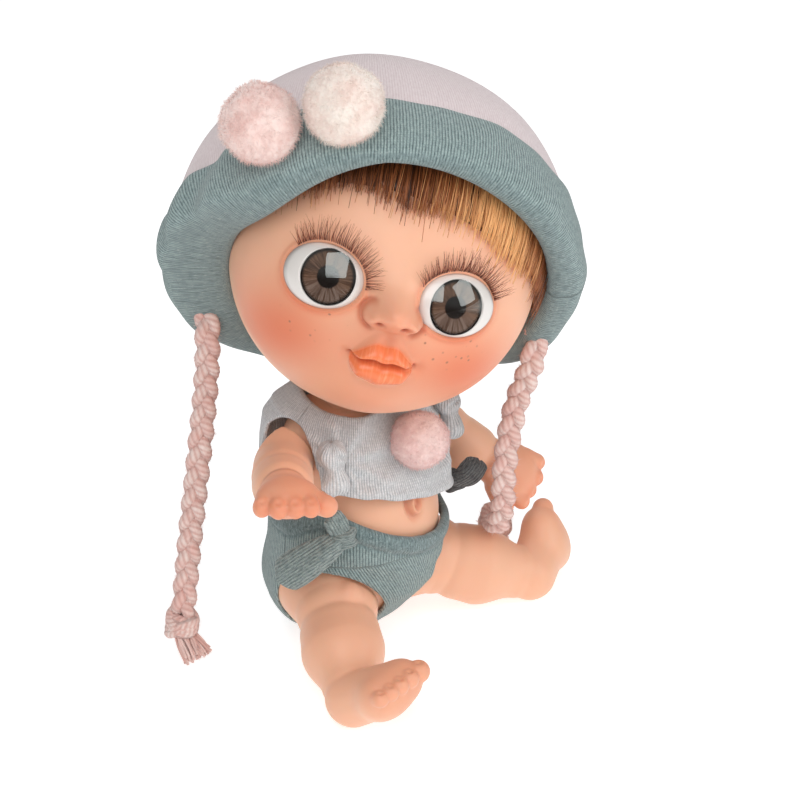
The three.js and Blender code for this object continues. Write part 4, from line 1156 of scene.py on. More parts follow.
@dataclass
class Braids:
    """The two braided cords that hang from the hat, each with its knot and tassel."""

    diameter: float = 4.6
    strand: float = 1.22
    swing: float = 1.3
    cross: float = 0.72
    pitch: float = 13.0
    knot_radius: float = 4.0
    tassel: float = 7.5
    limp_from: float = 60.0
    limp_to: float = 28.0
    fibres: int = 5200
    knot_fibres: int = 900
    ends: int = 60

    def build(self) -> None:
        yarn = Yarn().make()
        for side, given in BRAID_ROUTES.items():
            knot = self._knot(side, np.array(given))
            install(knot, yarn, "torso", "braid_knot_" + side.label)
            self._braid(side, given, yarn)

    def _braid(self, side: Side, given: Sequence[tuple], yarn: bpy.types.Material) -> None:
        """One braid along its route, from inside the hat to its knot.

        Args:
            side: The doll's side.
            given: The route below the hat.
            yarn: The finish.
        """
        run = np.array(given[-1]) - np.array(given[-2])
        points = [vec(*BRAID_TOPS[side]), *map(np.array, given), np.array(given[-1]) + unit(run) * 1.5]
        path = smooth_path(points, 220)
        long = length_of(path)
        along = np.linspace(0, long, len(path))
        _, axes = tube(path, 1, 4, vec(0.69, -0.72, 0))
        strands = [self._strand(path, axes, along, k, 10 * (side is Side.LEFT) + k) for k in range(3)]
        solid = joined(strands)
        loose = self._loose(solid, self.fibres, 5 + side.value)
        made = joined([solid, loose]).make("braid_cord_" + side.label)
        dress(made, yarn)
        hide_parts("braid_" + side.label)
        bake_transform(made)

    def _strand(self, path: Array, axes: Array, along: Array, turn: int, tone: int) -> Shape:
        """One of the three strands, weaving over its neighbours.

        Args:
            path: The braid's middle line.
            axes: Its two axes at each point.
            along: The distance along it.
            turn: The strand's number.
            tone: Sets its patches of pink and cream.

        Returns:
            The strand.
        """
        phase = 2 * np.pi * (along / self.pitch + turn / 3)
        line = path + axes[:, 0] * (self.swing * np.sin(phase))[:, None]
        line = line + axes[:, 1] * (self.cross * np.sin(2 * phase))[:, None]
        sides = 16
        angle = circle(sides)
        plies = 1 + 0.06 * np.cos(4 * angle[None, :] + along[:, None] * 1.15 * 2 * np.pi)
        rings, _ = tube(line, self.strand * plies, sides, vec(0.69, -0.72, 0))
        depth = np.einsum("kij,kj->ki", rings - path[:, None], axes[:, 1]) / (self.strand + self.cross)
        side_way = np.abs(np.einsum("kij,kj->ki", rings - line[:, None], axes[:, 0])) / self.strand
        # Painted shade where this strand passes under its neighbours, kept as the mark fold.
        tuck_shade = ease(side_way, 0.55, 1.0) * ease(-np.abs(depth), -0.9, 0.0)
        cloth = stacked(along[:, None], angle[None, :] / (2 * np.pi), float(tone))
        return globe(rings, cloth=cloth, fold=tuck_shade)

    def _loose(self, solid: Shape, count: int, seed: int) -> Shape:
        """Loose fibres of a braid or a knot.

        Args:
            solid: What they stand on.
            count: How many.
            seed: The seed of their random numbers.

        Returns:
            The fibres, with the yarn's marks.
        """
        centre = solid.points[solid.faces].mean(axis=1)
        a, b, c = (solid.points[solid.faces[:, k]] for k in range(3))
        normal = np.cross(b - a, c - a)
        size = np.linalg.norm(normal, axis=1)[:, None]
        normal = normal / np.maximum(size, 1e-9)
        hair = fuzz(centre, normal, count, 1.0, 0.05, seed)
        marks = {"cloth": np.tile(vec(0.3, 0.2, 1.0), (len(hair.points), 1)), "fold": np.zeros(len(hair.points))}
        return Shape(hair.points, hair.faces, marks)

    def _knot(self, side: Side, route: Array) -> bpy.types.Object:
        """The knot at a braid's end, wound from its strands, and its tassel.

        Args:
            side: The doll's side.
            route: The braid's route.

        Returns:
            The object.
        """
        run = unit(route[-1] - route[-2])
        centre = route[-1] + run * (self.knot_radius * 0.9)
        across = unit(np.cross(run, vec(0, 0, 1)) if abs(run[2]) < 0.98 else vec(0.7, -0.7, 0))
        deep = np.cross(across, run)
        rng = np.random.default_rng(40 + side.value)
        turn = np.linspace(0, 2 * np.pi, 90)
        parts = []
        for k, (lean, lift) in enumerate([(0.5, 0.8), (-0.55, -0.5), (0.1, 0.1)]):
            wide = self.knot_radius * (0.62 if k < 2 else 0.42)
            ring = (
                centre
                + across * (wide * np.cos(turn))[:, None]
                + deep * (wide * 0.72 * np.sin(turn))[:, None]
                + run * (lift + lean * wide * np.cos(turn + k))[:, None]
            )
            thick = 1.45 if k < 2 else 1.7
            for low in (-0.35, 0.35):
                line = ring + run * low * thick
                rings, _ = tube(line, thick * 0.78, 12)
                cloth = stacked((turn * wide)[:, None], np.linspace(0, 1, 12)[None, :], float(k))
                parts.append(globe(rings, cloth=cloth, fold=np.zeros(rings.shape[:2])))
        parts.extend(self._tassel(centre, run, side, rng))
        solid = joined(parts)
        loose = self._loose(solid, self.knot_fibres, 60 + side.value)
        whole = joined([solid, loose])
        whole.points[:, 2] = np.maximum(whole.points[:, 2], 0.05)
        return whole.make("braid_tail_" + side.label)

    def _tassel(self, centre: Array, run: Array, side: Side, rng: np.random.Generator) -> list[Shape]:
        """The cut ends of the yarn, spread on the floor.

        Args:
            centre: The knot's middle.
            run: The way that the braid ends.
            side: The doll's side.
            rng: The source of random numbers.

        Returns:
            The ends.
        """
        flat = unit(vec(run[0], run[1], 0)) if side is Side.LEFT else unit(vec(0.1, -0.9, 0) + run * vec(1, 1, 0))
        aside = np.cross(flat, vec(0, 0, 1))
        parts = []
        for _ in range(self.ends):
            spread = rng.uniform(-1, 1)
            reach = self.tassel * rng.uniform(0.8, 1.1)
            root = centre + aside * spread * 1.2 + rng.normal(size=3) * 0.6
            root[2] = max(root[2] - 1.2, 1.2)
            tip = centre + flat * reach * 0.72 + aside * spread * 3.1
            tip[2] = rng.uniform(0.3, 2.1)
            middle = (root + tip) / 2 + rng.normal(size=3) * 0.25
            middle[2] = max(middle[2], 0.6)
            line = smooth_path([root, middle, tip], 9)
            rings, _ = tube(line, 0.3, 5)
            cloth = np.tile(vec(rng.uniform(0, 9), 0.2, rng.uniform(0, 3)), (9, 5, 1))
            parts.append(globe(rings, cloth=cloth, fold=np.zeros((9, 5))))
        return parts


@dataclass
class Head:
    """The vinyl head: a round shell with nose, lips, eye hollows and blush."""

    width: float = 58
    depth: float = 57
    rise: float = 31
    drop: float = 28.2
    midline: float = 1.3
    nose_height: float = -4.5
    nose_width: float = 10.4
    nose_rise: float = 6.0
    nostril_spread: float = 2.15
    mouth_height: float = -13.6
    mouth_width: float = 12.6
    lip_rise: float = 2.9
    eye_spread: float = 11.9
    eye_height: float = -1.4
    eye_width: float = 15.6
    eye_tall: float = 12.1
    eye_forward: float = 24.6
    rings: int = 230
    sides: int = 300

    def base(self, direction: Array) -> Array:
        """The plain egg's radius in each direction.

        Args:
            direction: Directions, one a row.

        Returns:
            The radii.
        """
        x, y, z = direction.T
        tall = np.where(z > 0, self.rise, self.drop)
        return 1 / np.sqrt((x / (self.width / 2)) ** 2 + (y / (self.depth / 2)) ** 2 + (z / tall) ** 2)

    def radius(self, direction: Array) -> Array:
        """The head's radius in each direction, with its features but without the eye hollows.

        Args:
            direction: Directions, one a row.

        Returns:
            The radii.
        """
        x, y, z = direction.T
        base = self.base(direction)
        front = ease(-y, 0.1, 0.5)
        px, pz = base * x, base * z
        swell = 1.1 * bell(np.hypot(np.abs(px) - 15.5, pz + 11.5), 9)
        px = px - self.midline
        swell = swell + self._nose(px, pz) + self._mouth(px, pz)
        swell = swell + 1.4 * bell(px, 6.5) * bell(pz + 23, 5)
        return base + front * swell

    def _nose(self, px: Array, pz: Array) -> Array:
        """The button nose with its wings and nostrils.

        Args:
            px: The way left of the midline.
            pz: The height in the head's frame.

        Returns:
            How far the nose lifts the skin.
        """
        wide = self.nose_width / 2
        high = pz - self.nose_height
        apart = np.abs(px)
        tip = self.nose_rise * bell(np.hypot(px * 1.05, high * 1.12 - 0.3), wide * 0.64)
        wings = 2.7 * bell(np.hypot(apart - wide * 0.66, (high + 1.0) * 1.05), 1.5)
        bridge = 1.1 * bell(px, 3.4) * bell(high - 4.5, 4)
        behind = -0.9 * bell(np.hypot(apart - wide * 0.6, high + 0.8) - 2.6, 0.55) * ease(apart, 2.6, 4.2)
        under = -0.5 * bell(np.hypot(px / 3.0, (high + 3.2) / 0.8), 1)
        holes = -2.0 * bell(np.hypot((apart - self.nostril_spread) / 0.85, (high + 1.7) / 0.66), 1)
        groove = -0.45 * bell(px, 0.9) * bell(high + 4.9, 1.3)
        return tip + wings + bridge + behind + under + holes + groove

    def _lips(self, px: Array, pz: Array) -> tuple[Array, Array, Array, Array]:
        """The mouth's outline heights: the parting, the upper edge, the lower edge and the height.

        Args:
            px: The way left of the midline.
            pz: The height in the head's frame.

        Returns:
            The four, from the mouth's middle.
        """
        high = pz - self.mouth_height
        half = self.mouth_width / 2
        share = np.clip(np.abs(px) / half, 0, 1)
        parting = 1.15 * (1 - share**2) - 0.35 * bell(px, 1.1)
        upper = parting + 3.3 * (1 - share**1.5) - 0.5 * bell(px, 1.2)
        lower = parting - 4.6 * np.sqrt(np.clip(1 - (share / 0.9) ** 2.1, 0, 1))
        return parting, upper, lower, high

    def _mouth(self, px: Array, pz: Array) -> Array:
        """The full lips, their parting and the dimples at their corners.

        Args:
            px: The way left of the midline.
            pz: The height in the head's frame.

        Returns:
            How far the mouth lifts the skin.
        """
        parting, upper, lower, high = self._lips(px, pz)
        half = self.mouth_width / 2
        side = ease(half * 1.02 - np.abs(px), 0.0, 3.2)
        above = np.clip((high - parting) / np.maximum(upper - parting, 0.3), 0, 1.6)
        below = np.clip((parting - high) / np.maximum(parting - lower, 0.3), 0, 1.6)
        full = np.where(high > parting, bell(above - 0.42, 0.55), bell(below - 0.45, 0.52))
        muzzle = 1.5 * bell(px, 8) * bell(high, 5.5)
        seam = -1.7 * bell(high - parting, 0.42) * ease(half * 1.05 - np.abs(px), 0, 1.4)
        corner = -0.7 * bell(np.abs(px) - half * 1.02, 1.0) * bell(high - 0.1, 1.2)
        chin_dip = -0.5 * bell(px, 4.5) * bell(high + 5.6, 1.4)
        return self.lip_rise * full * side + muzzle + seam + corner + chin_dip

    def lip_mask(self, px: Array, pz: Array) -> Array:
        """1 on the painted lips and 0 off them.

        Args:
            px: The way left of the midline.
            pz: The height in the head's frame.

        Returns:
            The mask.
        """
        _, upper, lower, high = self._lips(px, pz)
        inside = np.minimum(upper - high, high - lower)
        return ease(inside, -0.12, 0.3) * ease(self.mouth_width / 2 - np.abs(px), -0.1, 0.4)

    def eye_place(self, side: Side) -> Place:
        """An eye's frame: +Y out of the eye, in the head's frame.

        Args:
            side: The doll's side.

        Returns:
            The frame.
        """
        out = unit(vec(side.value * 0.3, -0.95, 0.06))
        across = unit(np.cross(out, vec(0, 0, 1)))
        turn = np.stack([across, out, np.cross(across, out)], axis=1)
        return Place(vec(side.value * self.eye_spread, -self.eye_forward, self.eye_height), turn)

    def eye_share(self, points: Array, side: Side) -> Array:
        """How far points of the head's frame lie from an eye's middle, 1 at its rim."""
        local = self.eye_place(side).within(points)
        return np.hypot(local[:, 0] / (self.eye_width / 2), local[:, 2] / (self.eye_tall / 2))

    def surface(self, direction: Array) -> Array:
        """Points on the head in its own frame, with the eye hollows and lids.

        Args:
            direction: Directions, one a row.

        Returns:
            The points.
        """
        radius = self.radius(direction)
        points = direction * radius[:, None]
        push = np.zeros(len(points))
        for side in Side:
            share = self.eye_share(points, side)
            near = (direction[:, 1] < 0) & (np.sign(direction[:, 0]) == side.value)
            lid = 0.3 * bell(share - 1.06, 0.05) - 2.4 * ease(-share, -0.985, -0.9)
            push += np.where(near, lid, 0)
        return points + direction * push[:, None]

    def build(self) -> None:
        """Makes the head and its marks for the paint."""
        share = (np.arange(1, self.rings) / self.rings)[:, None]
        angle = np.pi * (0.5 * share + 0.5 * share**2)
        turn = circle(self.sides)[None, :]
        grid = stacked(np.sin(angle) * np.cos(turn), -np.cos(angle), np.sin(angle) * np.sin(turn))
        direction = grid.reshape(-1, 3) @ about(vec(1, 0, 0), 16).T
        points = self.surface(direction)
        marks = self._paint(direction, points)
        shape = (self.rings - 1, self.sides)
        made = globe(
            HEAD_FRAME.out(points).reshape(*shape, 3),
            **{mark: values.reshape(*shape, *values.shape[1:]) for mark, values in marks.items()},
        ).make("head_shell")
        install(made, SKIN, "head", "head")

    def _paint(self, direction: Array, points: Array) -> dict[str, Array]:
        """The marks that the vinyl's paint reads, painted shade in the creases and round the eyes among them.

        Args:
            direction: Directions, one a row.
            points: The head's points, in its own frame.

        Returns:
            The marks by name.
        """
        base = self.base(direction)
        px, pz = base * direction[:, 0], base * direction[:, 2]
        front = ease(-direction[:, 1], 0.1, 0.4)
        cheeks = 0.88 * bell(np.hypot((np.abs(px) - 17.5) / 1.25, pz + 13.5), 8.4)
        spots = bell(np.hypot((np.abs(px) - 12.2) / 1.7, pz + 9.4), 3.6)
        px = px - self.midline
        nose = 0.42 * bell(np.hypot(px, pz - self.nose_height + 1.5), 4.4)
        nose = nose + 0.35 * bell(np.hypot(px / 1.5, pz - self.mouth_height), 5.5)
        chin = 0.34 * bell(np.hypot(px / 1.6, pz + 23), 5)
        # Painted shade round the eyes, laid in with the blush.
        eye_rim_shade = sum(0.36 * bell(self.eye_share(points, side) - 1.05, 0.13) for side in Side)
        parting, _, _, high = self._lips(px, pz)
        # Painted shade along the lips' parting.
        seam = 1.0 * bell(high - parting, 0.34) * ease(self.mouth_width / 2 + 0.3 - np.abs(px), 0, 1)
        apart = np.abs(px)
        # Painted shade in the nostrils and round the nose's wings.
        holes = bell(np.hypot((apart - self.nostril_spread) / 0.8, (pz - self.nose_height + 1.75) / 0.6), 1)
        wings = 0.7 * bell(np.hypot(apart - self.nose_width * 0.3, pz - self.nose_height + 0.8) - 2.6, 0.65)
        wings = wings * ease(apart, 2.6, 4.2) + seam
        lines = stacked(px * 1.7, (pz - self.mouth_height) * 0.35, 0.0)
        return {
            # blush: sprayed blush on cheeks, nose, mouth and chin, with the painted shade round the eyes.
            "blush": np.clip(front * (cheeks + nose + chin + eye_rim_shade), 0, 1),
            # fold: the painted shade of the nostrils, the nose's wings and the lip parting.
            "fold": np.clip(front * (holes + wings) * 0.9, 0, 1),
            # The lip paint gives way to the painted shade along the parting.
            "lip": front * self.lip_mask(px, pz) * (1 - 0.92 * seam),
            "freckle": front * ease(spots, 0.25, 0.6),
            "lip_lines": lines,
        }


@dataclass
class Eyes:
    """Two inset eyes: a domed white, a printed iris in its seat and a clear lens, with long lashes."""

    head: Head
    dome: float = 3.3
    sunk: float = 0.55
    iris_radius: float = 5.0
    seat_gap: float = 0.12
    gaze: dict = field(default_factory=lambda: {Side.RIGHT: (1.05, 0.05), Side.LEFT: (-0.35, -0.3)})
    iris_drop: float = 0.7
    lens_curve: float = 10.0
    lens_lift: float = -0.12
    middle: Array = field(default_factory=lambda: np.zeros(2))
    lash_length: float = 4.5
    lashes: int = 125
    lash_ends: dict = field(default_factory=lambda: {Side.RIGHT: (139, -3), Side.LEFT: (157, 19)})
    sides: int = 96

    def build(self) -> None:
        """Makes both eyes."""
        white, paint, lens = EyeWhite().make(), IrisPaint().make(), ClearLens().make()
        lash = Fibre("lash_fibre", (0.09, 0.02, 0.008), (0.26, 0.065, 0.028), (0.5, 0.18, 0.09), 0.5).make()
        for side in Side:
            place = self.head.eye_place(side)
            whole = Place(HEAD_FRAME.out(place.origin), HEAD_FRAME.turn @ place.turn)
            aside, lift = self.gaze[side]
            self.middle = (place.turn.T @ vec(aside, 0, lift))[[0, 2]]
            for name, shape, material, slot, node in (
                ("eye_white", self._white(), white, "eye_white", "eye_shell"),
                ("eye_iris", self._iris(), paint, "iris", "iris"),
                ("eye_lens", self._lens(), lens, "clear_lens", "cornea"),
            ):
                made = shape.moved(whole).make(f"{name}_{side.label}")
                install(made, material, "head", f"{node}_{side.label}")
            lashes = self._lashes(side).moved(HEAD_FRAME).make("lash_row_" + side.label)
            install(lashes, lash, "head", "lashes_" + side.label)

    def _height(self, x: Array, z: Array) -> Array:
        """The white's height over its rim's plane."""
        share = np.hypot(x / (self.head.eye_width / 2), z / (self.head.eye_tall / 2))
        return self.dome * np.clip(1 - share**2.3, 0, 1) ** 0.5 - self.sunk

    def _rings(self, wide: Array, tall: Array, heights: Array, **marks: Array) -> Shape:
        """A closed piece of oval rings in the eye's frame, with a height for each ring or point.

        Args:
            wide: Each ring's half width.
            tall: Each ring's half height.
            heights: How far each ring or point stands out.
            marks: What each ring or point carries.

        Returns:
            The piece.
        """
        turn = circle(self.sides)
        half = self.head.eye_width / 2
        keep = np.clip((half - wide) / (half - self.iris_radius - self.seat_gap), 0, 1)[:, None]
        x = wide[:, None] * np.cos(turn) + keep * self.middle[0]
        z = tall[:, None] * np.sin(turn) + keep * self.middle[1]
        high = heights if np.ndim(heights) == 2 else np.broadcast_to(heights[:, None], x.shape)
        carried = {name: np.broadcast_to(v[:, None], x.shape) if v.ndim == 1 else v for name, v in marks.items()}
        return globe(np.stack([x, high, z], axis=-1), **carried)

    def _white(self) -> Shape:
        """The domed white, with a round seat sunk in it for the iris.

        Returns:
            The piece, in the eye's frame.
        """
        seat = self.iris_radius + self.seat_gap
        out = np.sin(np.linspace(0, np.pi / 2, 30))
        half_wide, half_tall = self.head.eye_width / 2, self.head.eye_tall / 2
        back = np.linspace(1, 0.4, 6)[1:]
        wide = np.concatenate([[0.4, seat * 0.6, seat], seat + (half_wide - seat) * out, half_wide * back])
        tall = np.concatenate([[0.4, seat * 0.6, seat], seat + (half_tall - seat) * out, half_tall * back])
        turn = circle(self.sides)
        keep = np.clip((half_wide - wide) / (half_wide - seat), 0, 1)[:, None]
        high = self._height(wide[:, None] * np.cos(turn) + keep * self.middle[0],
                            tall[:, None] * np.sin(turn) + keep * self.middle[1])
        high[:3] = self._floor() - 0.25
        high[-5:] = (-self.sunk - 0.6 - 3 * (1 - back))[:, None]
        share = wide / half_wide
        return self._rings(wide, tall, high, rim=share)

    def _floor(self) -> float:
        """The height of the iris."""
        return float(self._height(np.array(self.iris_radius), np.array(0.0))) - self.iris_drop

    def _iris(self) -> Shape:
        """The iris disc, dished a little, in its seat.

        Returns:
            The piece, in the eye's frame.
        """
        share = np.linspace(0.02, 1, 40)
        top = self._floor() + 0.3 * share**2
        shares = np.concatenate([share, [1.0, 0.5]])
        heights = np.concatenate([top, [self._floor() - 0.1, self._floor() - 0.15]])
        turn = circle(self.sides)
        polar = stacked(shares[:, None], np.cos(turn), np.sin(turn))
        radius = shares * self.iris_radius
        return self._rings(radius, radius, heights, polar=polar)

    def _lens(self) -> Shape:
        """The clear dome over the iris.

        Returns:
            The piece, in the eye's frame.
        """
        radius = (self.iris_radius + 0.1) * np.sin(np.linspace(0.03, np.pi / 2, 30))
        rim = float(self._height(np.array(self.iris_radius), np.array(0.0))) + self.lens_lift
        crown = rim + (radius[-1] ** 2 - radius**2) / (2 * self.lens_curve)
        low = self._floor() + 0.4
        radii = np.concatenate([radius, [radius[-1], radius[-1] * 0.5]])
        turn = circle(self.sides)
        upper = 0.5 + 0.5 * radii[:, None] * np.sin(turn) / radius[-1]
        return self._rings(radii, radii, np.concatenate([crown, [low, low]]), upper=upper)

    def _lashes(self, side: Side) -> Shape:
        """Long curved lashes round the top of an eye, in the head's frame.

        Args:
            side: The doll's side.

        Returns:
            The lashes.
        """
        rng = np.random.default_rng(7 + side.value)
        place = self.head.eye_place(side)
        wide, tall = self.head.eye_width / 2, self.head.eye_tall / 2
        forward = place.turn[:, 1]
        parts = []
        first, last = (np.radians(end) for end in self.lash_ends[side])
        for k in range(self.lashes):
            share = (k + 0.5 + rng.normal() * 0.4) / self.lashes
            angle = first + (last - first) * share
            long = self.lash_length * (0.75 + 0.3 * np.sin(np.pi * np.clip(share, 0, 1))) * rng.uniform(0.65, 1.1)
            lean = 0.5 * max(0.0, -np.cos(angle)) + 0.12
            if place.turn[0, 0] < 0:
                angle = np.pi - angle
            away = unit(place.turn @ vec(np.cos(angle) * tall, 0, np.sin(angle) * wide + lean * wide))
            root = place.out(vec(wide * 1.01 * np.cos(angle), 0.2, tall * 1.01 * np.sin(angle)))
            lift = float(self.head.radius(unit(root)[None])[0]) + 0.15 - np.linalg.norm(root)
            root = root + unit(root) * max(0.0, lift)
            clump = 0.12 * np.sin(k * 0.9) + rng.normal() * 0.09
            swirl = np.cross(away, forward) * clump
            middle = root + (away * 0.5 + forward * 0.42 + swirl * 0.4) * long * 0.55
            tip = root + (away * 0.98 + forward * 0.40 + swirl * 1.3) * long
            line = smooth_path([root, middle, tip], 9)
            rings, _ = tube(line, np.linspace(0.06, 0.018, 9), 4)
            tone = np.linspace(0.05, 0.7, 9)[:, None] + rng.normal() * 0.15
            parts.append(globe(rings, tone=np.broadcast_to(np.clip(tone, 0, 1), rings.shape[:2])))
        return joined(parts)


@dataclass
class Wig:
    """Short straight hair with a cut fringe, of fine strands over a cap."""

    head: Head
    crown_axis: Array = field(default_factory=lambda: unit(vec(0, 0.55, 0.83)))
    strands: int = 3400
    lock_width: float = 0.085

    def _direction(self, angle: Array, turn: Array) -> Array:
        """A direction by its angle from the crown and its place round it; sin(turn) > 0 is in front.

        Args:
            angle: Angles from the crown.
            turn: Places round it.

        Returns:
            The directions, along the last axis.
        """
        axis = self.crown_axis
        ahead = -np.cross(axis, vec(1, 0, 0))
        return (
            np.cos(angle)[..., None] * axis
            + (np.sin(angle) * np.cos(turn))[..., None] * vec(1, 0, 0)
            + (np.sin(angle) * np.sin(turn))[..., None] * ahead
        )

    def _hairline(self, turn: Array) -> Array:
        """The fringe's angle from the crown, all the way round.

        Args:
            turn: Places round the crown.

        Returns:
            The angles.
        """
        ahead = np.maximum(0, np.sin(turn))
        nape = np.maximum(0, -np.sin(turn))
        left = 9 * bell(turn - 0.28, 0.42)
        left = left + 6 * bell(turn - 0.95, 0.5)
        return np.radians(86 + 8.5 * ahead - 24 * nape**0.7 + left)

    def build(self) -> None:
        """Makes the cap and the strands as one wig."""
        fibre = Fibre("wig_fibre", (0.03, 0.008, 0.003), (0.42, 0.13, 0.042), (1.0, 0.54, 0.22), 0.33).make()
        made = joined([self._cap(), self._locks()]).moved(HEAD_FRAME).make("wig")
        install(made, fibre, "head", "hair")

    def _cap(self) -> Shape:
        """The cap under the strands, painted dark as the shade beneath them.

        Returns:
            The cap, in the head's frame.
        """
        turn = circle(120)
        line = self._hairline(turn) - np.radians(5)
        share = np.linspace(0.03, 1, 40)[:, None]
        angle = line[None, :] * share
        direction = self._direction(angle, np.broadcast_to(turn, angle.shape))
        radius = self.head.radius(direction.reshape(-1, 3)).reshape(angle.shape)
        lift = 1.6 * (1 - share**5) + 0.15
        outer = direction * (radius + lift)[..., None]
        inner = direction[::-1] * (radius[::-1] - 0.4)[..., None]
        rings = np.concatenate([outer, inner])
        # The cap is painted dark: the shade beneath the strands.
        tone = np.broadcast_to(0.12 + 0.1 * np.sin(turn * 40), rings.shape[:2])
        return globe(rings, tone=tone)

    def _locks(self) -> Shape:
        """The strands of the fringe and the sides, combed down from under the hat, with painted light and shade in
        their tone.

        Returns:
            The strands, in the head's frame.
        """
        rng = np.random.default_rng(21)
        steps = 12
        parts = []
        for _ in range(self.strands):
            turn = rng.uniform(np.radians(-38), np.radians(218))
            lock = np.round(turn / self.lock_width) * self.lock_width
            ragged = np.sin(lock * 37.0) + 0.7 * np.sin(lock * 83.0)
            line = float(self._hairline(np.array(turn)))
            layer = rng.uniform()
            end = line + np.radians(rng.normal() * 1.7 - 2.2 + 2.6 * ragged + 6.0 * (layer > 0.955))
            start = np.radians(rng.uniform(46, 60))
            along = np.linspace(0, 1, steps)
            pull = 0.75 * ease(along, 0.35, 1.0) * rng.uniform(0.2, 1.0)
            drift = rng.normal() * np.radians(1.3)
            place = turn + (lock - turn) * pull + drift * along**2 + np.radians(-5) * along * np.cos(turn)
            angle = start + (end - start) * along
            direction = self._direction(angle, place)
            radius = self.head.radius(direction)
            lift = (0.5 + 2.1 * layer) * (1 - 0.62 * along**2.2) + 0.25
            path = direction * (radius + lift)[:, None]
            rings, _ = tube(path, np.linspace(0.13, 0.05, steps), 3)
            # Painted light: strands brighter in two places round the head and in the outer layer, over each strand's
            # own random tone.
            strand_tone_and_light = 0.1 + 0.8 * float(bell(np.array(turn - 1.0), 0.42)) + rng.normal() * 0.16 + 0.08 * layer
            strand_tone_and_light += 0.12 * float(bell(np.array(turn - 2.3), 0.4))
            # Painted shadow: darker towards the roots, under the hat's cuff.
            tone = np.clip(strand_tone_and_light + 0.5 * (along - 0.72), 0.0, 1)
            parts.append(globe(rings, tone=np.broadcast_to(tone[:, None], rings.shape[:2])))
        return joined(parts)


